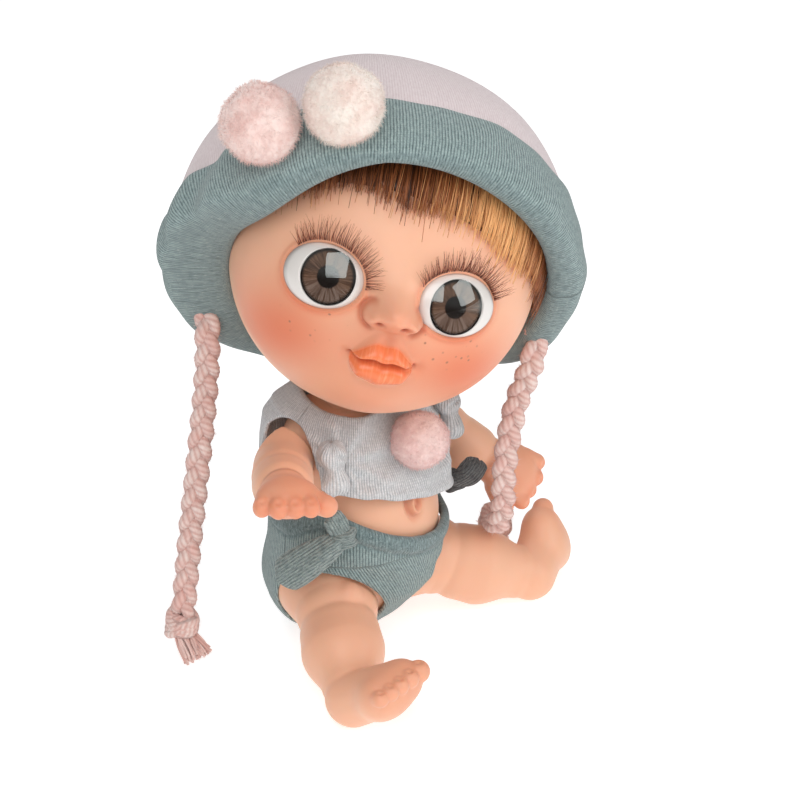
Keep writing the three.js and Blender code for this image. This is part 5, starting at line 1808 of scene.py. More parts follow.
@dataclass
class Hat:
    """The knitted hat: a jersey crown, a rolled rib cuff and two pompoms."""

    radius: float = 38.2
    cuff_top: float = 6.7
    cuff_width: float = 12
    nape_lift: float = 4
    nape_tuck: float = 3
    sag: float = 1.6
    low_edge: float = 0.9
    left_drop: float = 2.4
    right_drop: float = 4.4
    brow_drop: float = 3.8
    brow_place: float = 3.95
    hug_right: float = 7.6
    hug_left: float = 1.8
    rise: float = 3.4
    crown_cloth: float = 1.2
    pompom_radius: float = 7.3
    pompoms: tuple = ((Side.RIGHT, -119.6, -1.8), (Side.LEFT, -100.2, -1.0))
    around: int = 420

    def _nape(self, angle: Array) -> Array:
        """The share of the nape's lift at an angle round the hat."""
        return ease(np.sin(angle), 0.5, 1)

    def _top(self, angle: Array) -> Array:
        """The cuff's upper edge."""
        sides = np.where(np.cos(angle) > 0, self.left_drop, self.right_drop) * np.cos(angle) ** 2
        return self.cuff_top + self.nape_lift * 0.82 * self._nape(angle) - sides * (1 - self._nape(angle))

    def _edge(self, angle: Array) -> Array:
        """The cuff's lower edge, round the face.

        Args:
            angle: Angles round the hat.

        Returns:
            The heights.
        """
        droop = np.where(np.cos(angle) > 0, -self.sag, self.rise) * np.cos(angle) ** 2
        lower = self.low_edge * (1 - self._nape(angle)) + self.brow_drop * bell(angle - self.brow_place, 0.42)
        return self.cuff_top - self.cuff_width + self.nape_lift * self._nape(angle) + droop - lower

    def build(self) -> None:
        """Makes the crown, the cuff and the pompoms."""
        self._crown()
        self._cuff()
        pink = Fluff("pompom_pink", (0.88, 0.70, 0.65), (0.79, 0.52, 0.47)).make()
        cream = Fluff("pompom_cream", (0.88, 0.80, 0.73), (0.81, 0.63, 0.56)).make()
        reach = self.radius + 2.6 + self.pompom_radius * 0.62
        for side, turn, lift in self.pompoms:
            a, b = np.radians(turn), np.radians(lift)
            centre = HAT_FRAME.out(vec(np.cos(b) * np.cos(a), np.cos(b) * np.sin(a), np.sin(b)) * reach)
            made = pompom(centre, self.pompom_radius, "hat_pom_" + side.label, 80 + side.value)
            install(made, pink if side is Side.RIGHT else cream, "head", "hat_pompom_" + side.label)

    def _crown(self) -> None:
        """The crown's dome of thin jersey, a little gathered where it meets the cuff."""
        turn = circle(self.around)[None, :]
        share = (1 - np.linspace(1, 0.003, 100) ** 2)[:, None]
        start = self._top(turn) - 1.2
        height = start + (self.radius - start) * (1 - np.cos(share * np.pi / 2))
        wide = np.sqrt(np.maximum(self.radius**2 - height**2, 0.0004))
        wide = wide - self.nape_tuck * self._nape(turn) * (1 - share)
        gather = np.exp(-share * 9) * (0.35 * np.sin(turn * 34 + 2 * np.sin(turn * 5)) - 0.5)
        slack = 0.35 * np.sin(turn * 7 + 1.1) * np.sin(share * np.pi) + 0.25 * np.sin(turn * 3 - share * 6)
        wide = wide + gather + slack * np.sin(share * np.pi)
        outer = stacked(wide * np.cos(turn), wide * np.sin(turn), height)
        inner = outer[::-1] * (1 - self.crown_cloth / self.radius)
        cloth = stacked(turn * self.radius * 0.8, np.arcsin(height / self.radius) * self.radius, 0.0)
        rings = np.concatenate([outer, inner])
        made = hoop(rings, cloth=np.concatenate([cloth, cloth[::-1]])).moved(HAT_FRAME).make("hat_crown_cloth")
        knit = Knit("pink_jersey", (0.74, 0.655, 0.66), (0.60, 0.49, 0.50), (0.70, 0.60, 0.61), Stitch.JERSEY,
                    0.42, 0.34, 0.00007)
        install(made, knit.make(), "head", "hat_crown")
        flat = 2 * np.pi * self.radius**2 * 0.95
        flat * MM * MM

    def _cuff(self) -> None:
        """The rolled cuff of fine rib."""
        middle = [(-2.7, 0.3), (-3.35, 0.56), (-3.05, 0.82), (-1.6, 0.955), (0.0, 0.94), (0.95, 0.77), (1.05, 0.5),
                  (0.75, 0.25), (0.3, 0.08), (-0.5, 0.02)]
        loop = thickened(smooth_path([vec(a, b * self.cuff_width, 0) for a, b in middle], 40), 0.6)
        out, down = loop[:, 0][:, None], (loop[:, 1] / self.cuff_width)[:, None]
        turn = circle(self.around)[None, :]
        height = self._top(turn) + (self._edge(turn) - self._top(turn)) * down
        wide = np.sqrt(self.radius**2 - np.clip(height, -30, 30) ** 2) - self.nape_tuck * self._nape(turn)
        wave = 0.28 * np.sin(turn * 6 + 0.7) + 0.2 * np.sin(turn * 11 + down * 3)
        wave = wave + 0.12 * np.sin(turn * 23 + down * 5)
        wave = wave + 0.9 * np.sin(turn * 19 + down * 4.5 + 1.0) * bell(turn - 3.6, 0.5)
        wide = wide + out + wave * np.clip(out + 1.2, 0, 1.6) * 0.6
        facing = np.cos(turn)
        hug = self.hug_right * np.maximum(0, -facing) ** 1.2 + self.hug_left * np.maximum(0, facing)
        wide = wide - hug * (1 - self._nape(turn)) * np.clip((0.85 - out) / 2.4, 0, 1)
        fall = 0.35 * np.sin(turn * 5 + 2.0) * ease(down, 0.5, 1.0)
        rings = stacked(wide * np.cos(turn), wide * np.sin(turn), height + fall)
        run = np.concatenate([[0], np.cumsum(np.linalg.norm(np.diff(loop, axis=0), axis=1))])[:, None]
        cloth = stacked(turn * self.radius, run, 0.0)
        rolled = np.broadcast_to(0.7 * ease(down, 0.93, 1.0), rings.shape[:2])
        made = hoop(rings, cloth=cloth, plain=rolled).moved(HAT_FRAME).make("hat_cuff_cloth")
        install(made, HEATHER, "head", "hat_cuff")


def thickened(line: Array, half: float) -> Array:
    """A flat closed outline round an open line, with rounded ends.

    Args:
        line: Points in the XY plane.
        half: Half the outline's thickness.

    Returns:
        The outline's points, from the line's start and back.
    """
    run = units(np.gradient(line, axis=0))
    aside = stacked(run[:, 1], -run[:, 0], 0.0) * half
    ends = []
    for k, way in ((-1, 1), (0, -1)):
        turn = np.linspace(0.3, np.pi - 0.3, 4)[:, None] * way
        ends.append(line[k] + aside[k] * way * np.cos(turn) + run[k] * half * np.sin(turn))
    return np.concatenate([line + aside, ends[0], (line - aside)[::-1], ends[1]])


def pompom(centre: Array, radius: float, name: str, seed: int) -> bpy.types.Object:
    """A clipped pompom: a lumpy ball with a coat of short fibres.

    Args:
        centre: Its middle.
        radius: Its radius with the fibres.
        name: The object's name.
        seed: The seed of its random numbers.

    Returns:
        The object.
    """
    rng = np.random.default_rng(seed)
    lift = np.linspace(-0.985, 0.985, 60)[:, None]
    turn = circle(110)[None, :]
    flat = np.sqrt(1 - lift**2)
    direction = stacked(flat * np.cos(turn), flat * np.sin(turn), lift)
    lumps = np.zeros(direction.shape[:2])
    for _ in range(70):
        spot = unit(rng.normal(size=3))
        lumps += rng.uniform(-0.4, 0.34) * np.exp(-(np.arccos(np.clip(direction @ spot, -1, 1)) / 0.24) ** 2)
    rings = centre + direction * (radius * 0.95 + lumps)[..., None]
    core = globe(rings)
    coat = fuzz(rings.reshape(-1, 3), direction.reshape(-1, 3), 7000, radius * 0.13, 0.07, seed + 1)
    return joined([core, coat]).make(name)


@dataclass
class Body:
    """The vinyl body under the clothes, with its navel, neck and neck ball."""

    width: float = 35.6
    depth: float = 31.2
    height: float = 51.8
    seat: float = 1.4
    navel_height: float = 34.0
    navel_aside: float = 0.9
    neck_radius: float = 6.2
    ball_radius: float = 8.6

    def _stations(self) -> tuple[Array, Array]:
        """Heights, and the half width, half depth and centre line at each.

        Returns:
            The heights, and a row of sizes for each.
        """
        w, d, h, s = self.width / 2, self.depth / 2, self.height, self.seat
        rows = [
            (s, w * 0.34, d * 0.34, 1.5), (s + 1.3, w * 0.52, d * 0.5, 2), (h * 0.11, w * 0.74, d * 0.68, 2),
            (h * 0.18, w * 0.88, d * 0.82, 1.4), (h * 0.28, w, d * 0.98, 0.1), (h * 0.4, w * 0.98, d, -1),
            (h * 0.54, w * 0.94, d, -1.7), (h * 0.66, w * 0.86, d * 0.95, -1.7),
            (h * 0.77, w * 0.82, d * 0.85, -0.8), (h * 0.88, w * 0.84, d * 0.74, -0.2),
            (h * 0.96, w * 0.7, d * 0.6, 0), (h, w * 0.46, d * 0.44, -0.4),
        ]
        table = np.array(rows)
        return table[:, 0], table[:, 1:]

    def section(self, height: Array) -> tuple[Array, Array, Array]:
        """The body's half width, half depth and centre line at heights.

        Args:
            height: The heights.

        Returns:
            The three sizes at each.
        """
        places, sizes = self._stations()
        share = np.interp(height, places, np.linspace(0, 1, len(places)))
        return tuple(curve_values(sizes, share))

    def build(self) -> None:
        """Makes the body and dresses it."""
        made = joined([self._trunk(), self._neck()]).make("body_shell")
        install(made, SKIN, "torso", "torso")

    def _trunk(self) -> Shape:
        """The trunk, finely meshed at the navel.

        Returns:
            The trunk.
        """
        share = np.linspace(0, 1, 210)
        height = self.seat + (self.height - self.seat) * (0.45 * share + 0.55 * (0.5 - 0.5 * np.cos(np.pi * share)))
        half, deep, line = (values[:, None] for values in self.section(height))
        t = np.linspace(-np.pi, np.pi, 250, endpoint=False)[None, :]
        turn = -np.pi / 2 + t - 0.55 * np.sin(t)
        x, z = half * np.cos(turn), np.broadcast_to(height[:, None], (210, 250))
        ahead = ease(-np.sin(turn), 0.5, 0.9)
        x = x - self.navel_aside
        off = np.hypot(x / 1.5, (z - self.navel_height) / 2.2)
        lump = 1.15 * bell(off - 0.8, 0.26) - 0.3 * bell(off, 0.5)
        inner = 0.45 * bell(np.hypot(x / 0.6, (z - self.navel_height - 0.9) / 0.55), 1)
        inner = inner + 0.35 * bell(np.hypot(x / 0.55, (z - self.navel_height + 0.5) / 0.8), 1)
        dent = -0.6 * bell(off - 1.5, 0.32)
        swell = ahead * (lump + inner + dent)
        y = line + deep * np.sin(turn) - swell
        rings = stacked(x + self.navel_aside, y, z)
        # Painted shade in the navel's creases.
        fold = ahead * (0.5 * bell(off - 1.35, 0.26) + 0.4 * bell(off - 0.42, 0.16))
        return globe(rings, fold=fold, blush=ahead * 0.25 * bell(off, 1.6))

    def _neck(self) -> Shape:
        """The neck and the ball that the head turns on.

        Returns:
            The neck and ball.
        """
        base = self.height - 2.6
        rise = np.linspace(0, 1, 24)
        radius = [self.neck_radius + 1.6 * (1 - ease(np.array(s), 0, 0.4)) for s in rise]
        heights = list(base + rise * (NECK[2] - 5 - base))
        for tilt in np.linspace(-0.72, 1.5, 30):
            radius.append(self.ball_radius * np.cos(tilt))
            heights.append(NECK[2] + self.ball_radius * np.sin(tilt))
        turn = circle(60)[None, :]
        r = np.array(radius)[:, None]
        rings = stacked(NECK[0] + r * np.cos(turn), NECK[1] + r * np.sin(turn), np.array(heights)[:, None])
        none = np.zeros(rings.shape[:2])
        return globe(rings, fold=none, blush=none)


@dataclass
class Arms:
    """The two vinyl arms, each with a plump forearm, a wrist fold and a small hand."""

    length: float = 28.5
    radius: float = 5.7
    cell: float = 0.3
    elbows: dict = field(default_factory=lambda: {Side.RIGHT: (-0.4, -1.4), Side.LEFT: (1.0, -2.6)})

    def build(self) -> None:
        """Makes both arms."""
        for side in Side:
            shape = self._arm(*self.elbows[side])
            if side is Side.LEFT:
                shape = shape.turned(SHOULDER, about(SHOULDER_AXIS, LEFT_ARM_DROP))
            else:
                shape = shape.mirrored()
            made = shape.make("arm_skin_" + side.label)
            install(made, SKIN, "arm_" + side.label, "arm_" + side.label)

    def _arm(self, inward: float, back: float) -> Shape:
        """A left arm before it is turned.

        Args:
            inward: How far the elbow bends inward.
            back: How far it bends back.

        Returns:
            The arm.
        """
        high = unit(vec(0, 0, 1) - ARM_DIRECTION * ARM_DIRECTION[2])
        across = np.cross(ARM_DIRECTION, high)
        long = self.length

        def at(distance: float, aside: float = 0, lift: float = 0) -> Array:
            """A point by its distance along the arm and its way off the middle line."""
            bend = np.sin(np.pi * np.clip(distance / long, 0, 1)) ** 1.5
            return SHOULDER + ARM_DIRECTION * distance + across * (aside + inward * bend) + high * (lift + back * bend)

        ends = [SHOULDER - 9, at(long * 1.2)]
        clay = Clay(np.minimum(*ends) - 9, np.maximum(*ends) + 9, self.cell)
        r = self.radius
        form = clay.ball(SHOULDER, 6.3)
        form = fuse(form, clay.bar(at(1.5), at(long * 0.36), r * 0.94, r * 1.03), 2.5)
        fore = clay.bar(at(long * 0.52), at(long * 0.62), r * 1.02, r * 0.98)
        form = fuse(form, fore, 0.9)
        hand = clay.oval(at(long * 0.93, 0.3, -0.1), np.array([ARM_DIRECTION, across, high]), (5.8, 5.9, 3.7))
        wrist = clay.bar(at(long * 0.78), at(long * 0.88), r * 0.80, 3.6)
        hand = fuse(hand, wrist, 1.2)
        form = fuse(form, hand, 0.3)
        fingers = None
        nails = []
        for k, aside in enumerate((-4.35, -1.5, 1.4, 4.1)):
            size = 1.86 - 0.1 * abs(k - 1.5)
            reach = long * 1.09 + (-0.8 if k == 0 else 0.4)
            tip = at(reach + 0.7, aside * 1.05, -1.0)
            finger = fuse(clay.bar(at(long * 0.98, aside * 0.92, 0.1), at(reach, aside, -0.35), size, size * 0.98),
                          clay.ball(tip, size * 0.86), 1.0)
            fingers = finger if fingers is None else fuse(fingers, finger, 0.12)
            nails.append(at(reach + 1.7, aside * 1.05, 0.95))
        thumb = clay.bar(at(long * 0.9, 4.4, -0.8), at(long * 1.03, 7.2, -1.3), 2.3, 2.05)
        form = fuse(form, fuse(fingers, thumb, 0.15), 0.5)
        for nail in nails:
            form = carve(form, clay.ball(nail, 0.7), 0.25)
        form = carve(form, clay.plane(SHOULDER - SHOULDER_AXIS * 1.4, SHOULDER_AXIS), 0.4)
        shape = clay.shape(form)
        along = (shape.points - SHOULDER) @ ARM_DIRECTION
        blush = 0.34 * ease(along, long * 0.66, long * 0.95) + 0.2 * ease(along, long * 1.04, long * 1.16)
        # Painted shade in the wrist's crease.
        wrist_crease_shade = bell(along - long * 0.755, 0.6) * 0.5
        return Shape(shape.points, shape.faces, {"blush": blush, "fold": wrist_crease_shade})


@dataclass
class Legs:
    """The two vinyl legs: a plump thigh, a dimpled knee, a calf and a foot with toes."""

    thigh: float = 10.6
    knee: float = 8.3
    calf: float = 7.7
    heel: float = 5.5
    foot: float = 20.4
    toes_width: float = 14.0
    cell: float = 0.34

    def build(self) -> None:
        """Makes both legs from one form."""
        shape = self._leg()
        turned = shape.turned(HIP, about(HIP_AXIS, -LEFT_LEG_TURN))
        for side, placed in ((Side.RIGHT, shape.mirrored()), (Side.LEFT, turned)):
            points = placed.points.copy()
            points[:, 2] = np.maximum(points[:, 2], 0.08)
            made = Shape(points, placed.faces, placed.marks).make("leg_skin_" + side.label)
            install(made, SKIN, "leg_" + side.label, "leg_" + side.label)

    def _leg(self) -> Shape:
        """A left leg before it is turned.

        Returns:
            The leg.
        """

        def at(share: float, ahead: float = 0) -> Array:
            """A point by its share of the way from hip to heel, and how far it lies ahead."""
            return HIP + (HEEL - HIP) * share + TOES_DIRECTION * ahead

        out = unit(np.cross(TOES_DIRECTION, SOLE_DIRECTION))

        def foot_at(ahead: float, aside: float = 0, down: float = 0) -> Array:
            """A point of the foot by its way from the heel."""
            return HEEL + TOES_DIRECTION * ahead + out * aside + SOLE_DIRECTION * down

        reach = self.foot - self.heel
        points = np.array([HIP, HEEL, foot_at(reach + 2)])
        clay = Clay(points.min(axis=0) - 12.5, points.max(axis=0) + 12.5, self.cell)
        form = clay.bar(HIP - HIP_AXIS * 1.4, at(0.17, 0.5), self.thigh, self.knee * 0.98)
        shank = fuse(clay.bar(at(0.42, -0.55), at(0.56, -0.6), self.calf * 0.97, self.calf * 0.99),
                     clay.bar(at(0.42, 0.65), at(0.56, 0.6), self.calf * 0.97, self.calf * 0.99), 1)
        shank = fuse(shank, clay.bar(at(0.58, 0), at(0.86, 0.1), self.calf * 0.97, self.heel * 1.02), 1.5)
        form = fuse(form, shank, 0.35)
        form = fuse(form, clay.ball(HIP + vec(2.8, -7.5, 3.5), 3.2), 0.4)
        sole = fuse(
            clay.bar(foot_at(0.2), foot_at(reach * 0.4, 0, 0.4), self.heel, 5.0),
            clay.oval(foot_at(reach * 0.6, 0, 0.8), np.array([TOES_DIRECTION, out, SOLE_DIRECTION]), (4.9, 6.7, 4.9)),
            2.2,
        )
        ball = clay.bar(foot_at(reach * 0.72, -3.5, 0.3), foot_at(reach * 0.67, 3.4, 0.3), 4.0, 3.6)
        form = fuse(form, fuse(sole, ball, 1.5), 0.35)
        toes = None
        nails = []
        place = -self.toes_width / 2
        for k, size in enumerate((2.25, 1.85, 1.78, 1.7, 1.6)):
            place += size - 0.43
            ahead = reach - size + 1.3 - 0.1 * k * k
            toe = clay.bar(foot_at(ahead - 1.4, place * 0.94, 0), foot_at(ahead, place, 0.2), size * 0.92, size)
            toes = toe if toes is None else fuse(toes, toe, 0.04)
            nails.append(foot_at(ahead + size * 0.62, place, 0.2 - size * 0.86))
            place += size - 0.43
        form = fuse(form, toes, 0.25)
        for nail in nails:
            form = carve(form, clay.ball(nail, 0.75), 0.25)
        form = carve(form, clay.plane(HIP - HIP_AXIS * 2.8, HIP_AXIS), 0.4)
        shape = clay.shape(form)
        ahead = (shape.points - HEEL) @ TOES_DIRECTION
        blush = 0.26 * ease(ahead, reach * 0.5, reach)
        blush = blush + 0.1 * bell(np.linalg.norm(shape.points - at(0.1, 8), axis=1), 6)
        return Shape(shape.points, shape.faces, {"blush": blush, "fold": np.zeros(len(blush))})


@dataclass
class Top:
    """The cropped sleeveless top with its two gathering knots and the chest pompom."""

    body: Body
    hem: float = 35.4
    hem_tilt: float = 0.28
    cloth: float = 0.95
    cell: float = 0.26
    pompom_place: Array = field(default_factory=lambda: vec(1.8, -17, 47.4))
    pompom_radius: float = 5.8
    knot_reach: float = 13.5
    chin_room: tuple[float, float, float] = (29.4, 28.9, 28.8)

    def build(self) -> None:
        """Makes the top, its knots and the pompom."""
        self._shell()
        for side in Side:
            made = self._knot(side).make("side_knot_" + side.label)
            install(made, PALE_RIB, "torso", "top_knot_" + side.label)
        pom = pompom(self.pompom_place, self.pompom_radius, "chest_pom", 90)
        rose = Fluff("pompom_rose", (0.87, 0.66, 0.62), (0.76, 0.47, 0.45)).make()
        install(pom, rose, "torso", "chest_pompom")

    def _field(self, clay: Clay) -> Array:
        """Distance to the top's middle surface, before its folds.

        Args:
            clay: The cells.

        Returns:
            The distances.
        """
        w, d, h = self.body.width / 2, self.body.depth / 2, self.body.height
        places = np.array([*(self.hem + rise for rise in (-4, 0, 3, 9, 13.5)), h, h + 2, h + 4, h + 7])
        sizes = np.array([
            (w * 0.96, d * 1.04, -1.5), (w * 0.97, d * 1.05, -1.6), (w * 0.99, d * 1.04, -1.3),
            (w * 0.97, d * 0.92, 0), (w * 0.92, d * 0.83, 0.8), (w * 0.81, d * 0.73, 0.6),
            (w * 0.66, d * 0.63, 0), (w * 0.53, d * 0.53, -0.6), (w * 0.47, d * 0.5, -1.2),
        ])
        half, deep, line = (np.interp(clay.z, places, sizes[:, k]) for k in range(3))
        power = 2.7
        rough = (np.abs(clay.x / half) ** power + np.abs((clay.y - line) / deep) ** power) ** (1 / power) - 1
        return clay.true(rough * 12)

    def _shell(self) -> None:
        """The cloth: a thin shell with armholes, drawn into folds by its knots."""
        high = self.body.height + 6.0
        clay = Clay((-20, -21, self.hem - 3.5), (20, 18, high + 2), self.cell)
        skin = self._field(clay)
        turn = np.arctan2(clay.y + 1, clay.x)
        front = ease(-clay.y, 2, 9)
        fan = np.zeros_like(skin)
        for side in Side:
            knot, spread = side.value * self.knot_reach, -side.value
            away = np.hypot((clay.x - knot) * 0.8, clay.z - 46.5)
            slope = np.arctan2(clay.z - 46.5, (clay.x - knot) * spread)
            fan = fan + 0.62 * np.sin(slope * 9 + 0.8) * bell(away - 5.5, 5.5) * ease(away, 1.0, 4.0)
        drape = 0.5 * bell((clay.z - 42.5) - 0.28 * (clay.x + 2), 1.1)
        drape = drape - 0.4 * bell((clay.z - 45.2) - 0.3 * (clay.x + 3), 1.2)
        hem = self.hem + 0.6 - self.hem_tilt * clay.x * ease(-clay.y, 0, 8)
        ripple = 0.16 * np.sin(turn * 13 + 1.5) * ease(hem + 4.5 - clay.z, 0, 4.5)
        back = 0.3 * np.sin(turn * 9) * ease(clay.y, 2, 9)
        folds = front * (fan + drape) + ripple + back
        sheet = np.abs(skin - folds * 0.8) - self.cloth / 2
        wave = 0.14 * np.sin(turn * 5 + 0.6) + 0.1 * np.sin(turn * 11)
        low_edge = hem + wave - clay.z
        hem_roll = np.hypot(skin - folds * 0.8 - 0.2, (low_edge + 0.9) * 0.8) - 0.85
        sheet = meet(sheet, low_edge, 0.3)
        sheet = fuse(sheet, hem_roll, 0.5)
        places = stacked(clay.x, clay.y, clay.z)
        chin = np.full(places.shape[:3], 99.0)
        for turned in (0, *range(NECK_RANGE[0], NECK_RANGE[1] + 1, 20)):
            back_turned = (places.reshape(-1, 3) - NECK) @ about(NECK_AXIS, turned) + NECK
            share = np.linalg.norm(HEAD_FRAME.within(back_turned) / vec(*self.chin_room), axis=1)
            chin = np.minimum(chin, share.reshape(chin.shape) * self.chin_room[2] - self.chin_room[2])
        sheet = carve(sheet, chin - 0.3, 0.3)
        sheet = meet(sheet, clay.z - high, 0.3)
        for side in Side:
            at = SHOULDER * vec(side.value, 1, 1)
            reach = vec(side.value * 0.42, -0.62, -0.42)
            hole = fuse(clay.ball(at, 7.1), clay.bar(at, at + reach * 8, 6.9, 6.2), 1)
            lowered = clay.bar(at, at + vec(side.value * 0.6, -0.3, -0.8) * 6, 6.8, 6.0)
            hole = fuse(hole, lowered, 1.5)
            sheet = carve(sheet, hole, 0.3)
        shape = clay.shape(sheet, 1)
        around = np.arctan2(shape.points[:, 1] + 1, shape.points[:, 0]) * 16.5
        cloth = stacked(around, shape.points[:, 2] + 0.12 * shape.points[:, 0], 0.0)
        made = Shape(shape.points, shape.faces, {"cloth": cloth}).make("top_cloth")
        install(made, PALE_RIB, "torso", "top")

    def _knot(self, side: Side) -> Shape:
        """A gathering knot: a tight bulb with a small frill under it.

        Args:
            side: The doll's side.

        Returns:
            The knot.
        """
        s = side.value
        head = vec(s * 15.8, -10.9, 48.7)
        foot = vec(s * 15.9, -12.3, 43.0)
        clay = Clay(np.minimum(head, foot) - 4.6, np.maximum(head, foot) + 4.6, 0.22)
        form = clay.oval(head, np.eye(3), (3.0, 2.8, 2.7))
        neck = clay.bar(head + vec(0, -0.4, -1.6), foot + vec(0, 0, 1.5), 1.6, 1.9)
        frill = clay.oval(foot, np.eye(3), (2.7, 2.3, 2.5))
        form = fuse(fuse(form, neck, 0.7), frill, 0.8)
        turn = np.arctan2(clay.y - head[1], clay.x - head[0])
        folds = 0.22 * np.sin(turn * 4 + clay.z * 0.9) + 0.1 * np.sin(turn * 7 - clay.z * 1.7)
        notch = clay.bar(head + vec(-s * 2, -2.4, -0.7), head + vec(s * 1.2, -2.6, 0.8), 0.42, 0.3)
        form = carve(form - folds * 0.8, notch, 0.5)
        shape = clay.shape(form, 1)
        local = shape.points - head
        cloth = stacked(np.arctan2(local[:, 1], local[:, 0]) * 2.6, local[:, 2], 0.0)
        return Shape(shape.points, shape.faces, {"cloth": cloth})


@dataclass
class Briefs:
    """The briefs: a shell of rib with a folded waistband, and a cloth tie on either hip."""

    body: Body
    waist: float = 31.5
    dip: float = 4.5
    waist_tilt: float = 0.32
    cloth: float = 1.0
    cell: float = 0.28
    tie_knot: Array = field(default_factory=lambda: vec(15.6, -13.4, 31.6))

    def build(self) -> None:
        """Makes the briefs and both ties."""
        self._shell()
        self._right_tie()
        self._left_tie()

    def _shell(self) -> None:
        """The shell round the hips with its leg openings."""
        clay = Clay((-21, -20.5, -1.2), (21, 19, self.waist + 7), self.cell)
        half, deep, line = self.body.section(np.clip(clay.z, self.body.seat + 0.01, self.body.height))
        rough = np.sqrt((clay.x / half) ** 2 + ((clay.y - line) / deep) ** 2) - 1
        skin = clay.true(rough * 15)
        skin = np.where(clay.z < 4.5, np.maximum(skin, (self.body.seat - clay.z)), skin)
        turn = np.arctan2(clay.y - line, clay.x)
        front = ease(-np.sin(turn), 0.1, 0.8)
        top = self.waist + 0.4 - self.dip * np.maximum(0, -np.sin(turn)) ** 1.5
        top = top - self.waist_tilt * clay.x * ease(-clay.y, 0, 10)
        below = top - clay.z
        tug = 0.14 * np.sin((clay.z + 0.55 * clay.x) * 1.1) * front * ease(below, 4.0, 6.5) * ease(clay.z, 6, 12)
        seat_folds = 0.2 * np.sin(turn * 9 + clay.z * 0.35) * ease(below, 2, 8) * ease(clay.y, 0, 8)
        band = 0.95 * bell(below - 1.9, 1.9) + 0.25 * np.sin(turn * 17 + 3 * np.sin(turn * 4)) * bell(below - 2, 2)
        crease = -0.35 * bell(below - 4.1, 0.5)
        middle = skin - 0.85 - tug - seat_folds - band * 0.75 - crease
        sheet = np.abs(middle) - (self.cloth / 2 + 0.5 * bell(below - 1.7, 1.7))
        sheet = meet(sheet, -below, 0.8)
        for side in Side:
            at = HIP * vec(side.value, 1, 1)
            axis = HIP_AXIS * vec(side.value, 1, 1)
            hole = clay.bar(at - axis * 0.6, at + axis * 30, 10.5, 10.9)
            rim = np.hypot(hole - 0.7, np.clip(middle, -3, 3)) - 0.72
            sheet = fuse(carve(sheet, hole, 0.3), rim, 0.35)
        sheet = meet(sheet, (rough - 0.14) * 12, 0.3)
        sheet = meet(sheet, 0.06 - clay.z, 0.25)
        sheet = np.where(clay.z < 0.02, np.maximum(sheet, 0.3), sheet)
        shape = clay.shape(sheet, 1)
        x, y, z = shape.points.T
        around = np.arctan2(y, x) * 17.5
        slant = np.where((y < -3) & (z < self.waist - self.dip - 3.4), 0.55, 0.0)
        cloth = stacked(around + slant * z, z, 0.0)
        edge = self.waist - self.dip * np.clip(-y / np.hypot(x, y + 0.01), 0, 1) ** 1.5
        edge = edge - self.waist_tilt * x * ease(-y, 0, 10)
        plain = 1 - ease(edge - z, 3.6, 4.6)
        made = Shape(shape.points, shape.faces, {"cloth": cloth, "plain": plain}).make("briefs_cloth")
        install(made, HEATHER, "torso", "briefs")

    def _tail(self, points: Sequence[Array], width: Sequence[float], face: Array, curl: float) -> Shape:
        """A folded strip of cloth along a curve.

        Args:
            points: The curve's points.
            width: Widths, evenly along it.
            face: The way that its flat side faces.
            curl: How far its middle bows out.

        Returns:
            The strip.
        """
        path = smooth_path(points, 60)
        along = np.linspace(0, 1, len(path))
        tangent = units(np.gradient(path, axis=0))
        normal = units(face - tangent * (tangent @ face)[:, None])
        across = np.cross(tangent, normal)
        half = curve_values(np.array(width)[:, None], along)[0] / 2
        turn = circle(56)
        side = np.sign(np.cos(turn)) * np.abs(np.cos(turn)) ** 0.8
        half = half * np.sqrt(np.clip(1 - ((along - 0.86) / 0.145) ** 2 * (along > 0.86), 0.02, 1))
        thick = 0.8 + 0.12 * np.sin(along * 9)[:, None] + 0.1 * np.cos(3 * turn)[None, :]
        bow = curl * (1 - side[None, :] ** 2) + 0.18 * np.sin(side[None, :] * 5 + along[:, None] * 7)
        rings = (
            path[:, None]
            + across[:, None] * (half[:, None] * side[None, :])[..., None]
            + normal[:, None] * (thick * np.sin(turn)[None, :] + bow)[..., None]
        )
        long = length_of(path)
        cloth = stacked(half[:, None] * side[None, :], (along * long)[:, None], 0.0)
        return globe(rings, cloth=cloth)

    def _tie_knot(self, centre: Array, size: float) -> Shape:
        """The knot of a tie, wrapped and pulled into folds.

        Args:
            centre: Its middle.
            size: Its radius.

        Returns:
            The knot.
        """
        lift = np.linspace(-0.98, 0.98, 50)[:, None]
        turn = circle(80)[None, :]
        flat = np.sqrt(1 - lift**2)
        folds = 1 + 0.11 * np.sin(lift * 7 + 2 * np.sin(turn)) + 0.06 * np.sin(turn * 3 + lift * 4)
        across, deep = flat * np.cos(turn) * size * 1.08, flat * np.sin(turn) * size * 0.92
        rings = centre + stacked(across * folds, deep * folds, lift * size * 0.96 * folds)
        cloth = stacked(lift * 3.5, turn * size, 0.0)
        return globe(rings, cloth=cloth)

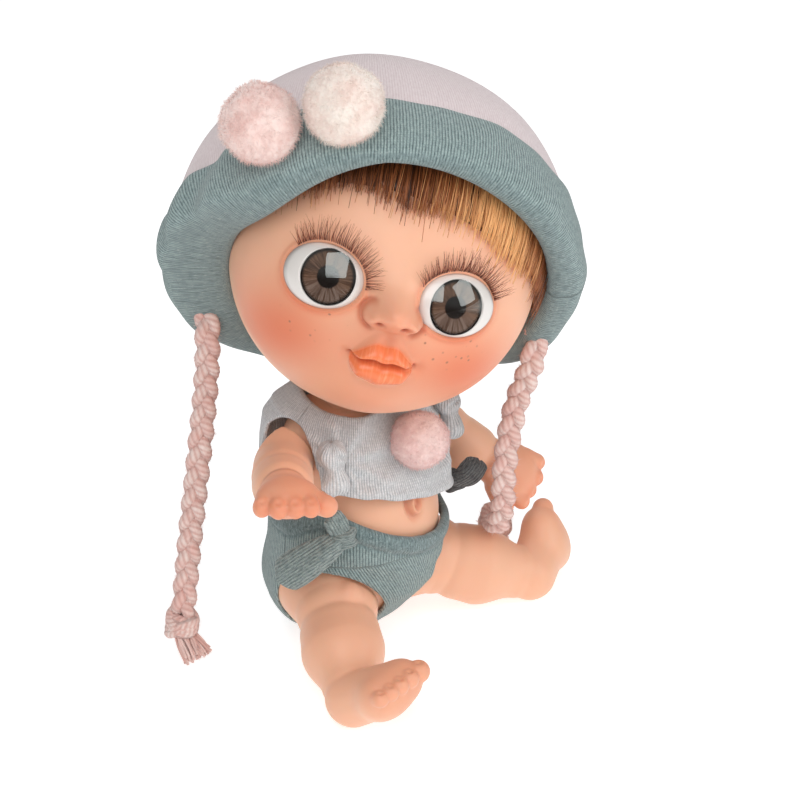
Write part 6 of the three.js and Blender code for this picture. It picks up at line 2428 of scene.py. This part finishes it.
    def _right_tie(self) -> None:
        """The tie on the right hip: a long hanging tail, a loop and the knot."""
        knot = self.tie_knot * vec(-1, 1, 1)
        tail = self._tail(
            [knot + vec(-0.5, -0.4, 0.2), vec(-19.4, -12.2, 29.9), vec(-22.6, -8.8, 26.4), vec(-24.6, -5.2, 22.8)],
            (3.6, 6.2, 7.4, 6.8), vec(-0.7, -0.6, 0.35), 0.8)
        loop = self._tail([knot + vec(0, 0, 0.5), vec(-16.6, -13.2, 34.2), vec(-17.6, -12.2, 37.0)],
                          (3.2, 4.6, 4.0), vec(-0.3, -0.9, 0.2), 0.5)
        made = joined([self._tie_knot(knot, 2.7), tail, loop]).make("hip_tie_right")
        install(made, TIE_HEATHER, "torso", "briefs_tie_right")

    def _left_tie(self) -> None:
        """The tie on the left hip: a short folded loop that stands up."""
        knot = self.tie_knot
        loop = self._tail([knot + vec(0, -0.4, 0.2), vec(16.9, -16.2, 33.8), vec(18.2, -17.8, 37.0)],
                          (3.2, 5.2, 4.6), vec(-0.6, -0.7, 0.3), 0.9)
        fold = self._tail([knot + vec(0.2, -0.6, 0.2), vec(17.9, -15.4, 33.2), vec(19.0, -15.9, 35.8)],
                          (2.6, 4.2, 3.4), vec(0.3, -0.9, 0.2), 0.7)
        made = joined([self._tie_knot(knot, 2.4), loop, fold]).make("hip_tie_left")
        install(made, SHADED_HEATHER, "torso", "briefs_tie_left")


SKIN = Vinyl().make()
HEATHER = Knit("heather_rib", (0.37, 0.475, 0.465), (0.075, 0.118, 0.125), (0.60, 0.66, 0.64)).make()
TIE_HEATHER = Knit("heather_plain", (0.47, 0.555, 0.53), (0.10, 0.14, 0.14), (0.70, 0.75, 0.70),
                   contrast=0.25).make()
# A darker, greyer copy of the heather rib: painted shade on the left tie.
SHADED_HEATHER = Knit("heather_rib_shaded", (0.20, 0.20, 0.195), (0.035, 0.035, 0.036), (0.42, 0.42, 0.40),
                    contrast=0.2).make()
PALE_RIB = Knit("pale_rib", (0.74, 0.745, 0.75), (0.36, 0.375, 0.39), (0.55, 0.64, 0.72), Stitch.FLEECED, 0.5, 0.5,
                0.00016).make()


def main() -> None:
    """Builds the doll's pieces in order."""
    logging.basicConfig(level=logging.INFO, format="%(message)s")
    Studio().build()
    Braids().build()
    head = Head()
    head.build()
    Eyes(head).build()
    Wig(head).build()
    Hat().build()
    body = Body()
    body.build()
    Arms().build()
    Legs().build()
    Top(body).build()
    Briefs(body).build()


if __name__ == "__main__":
    main()
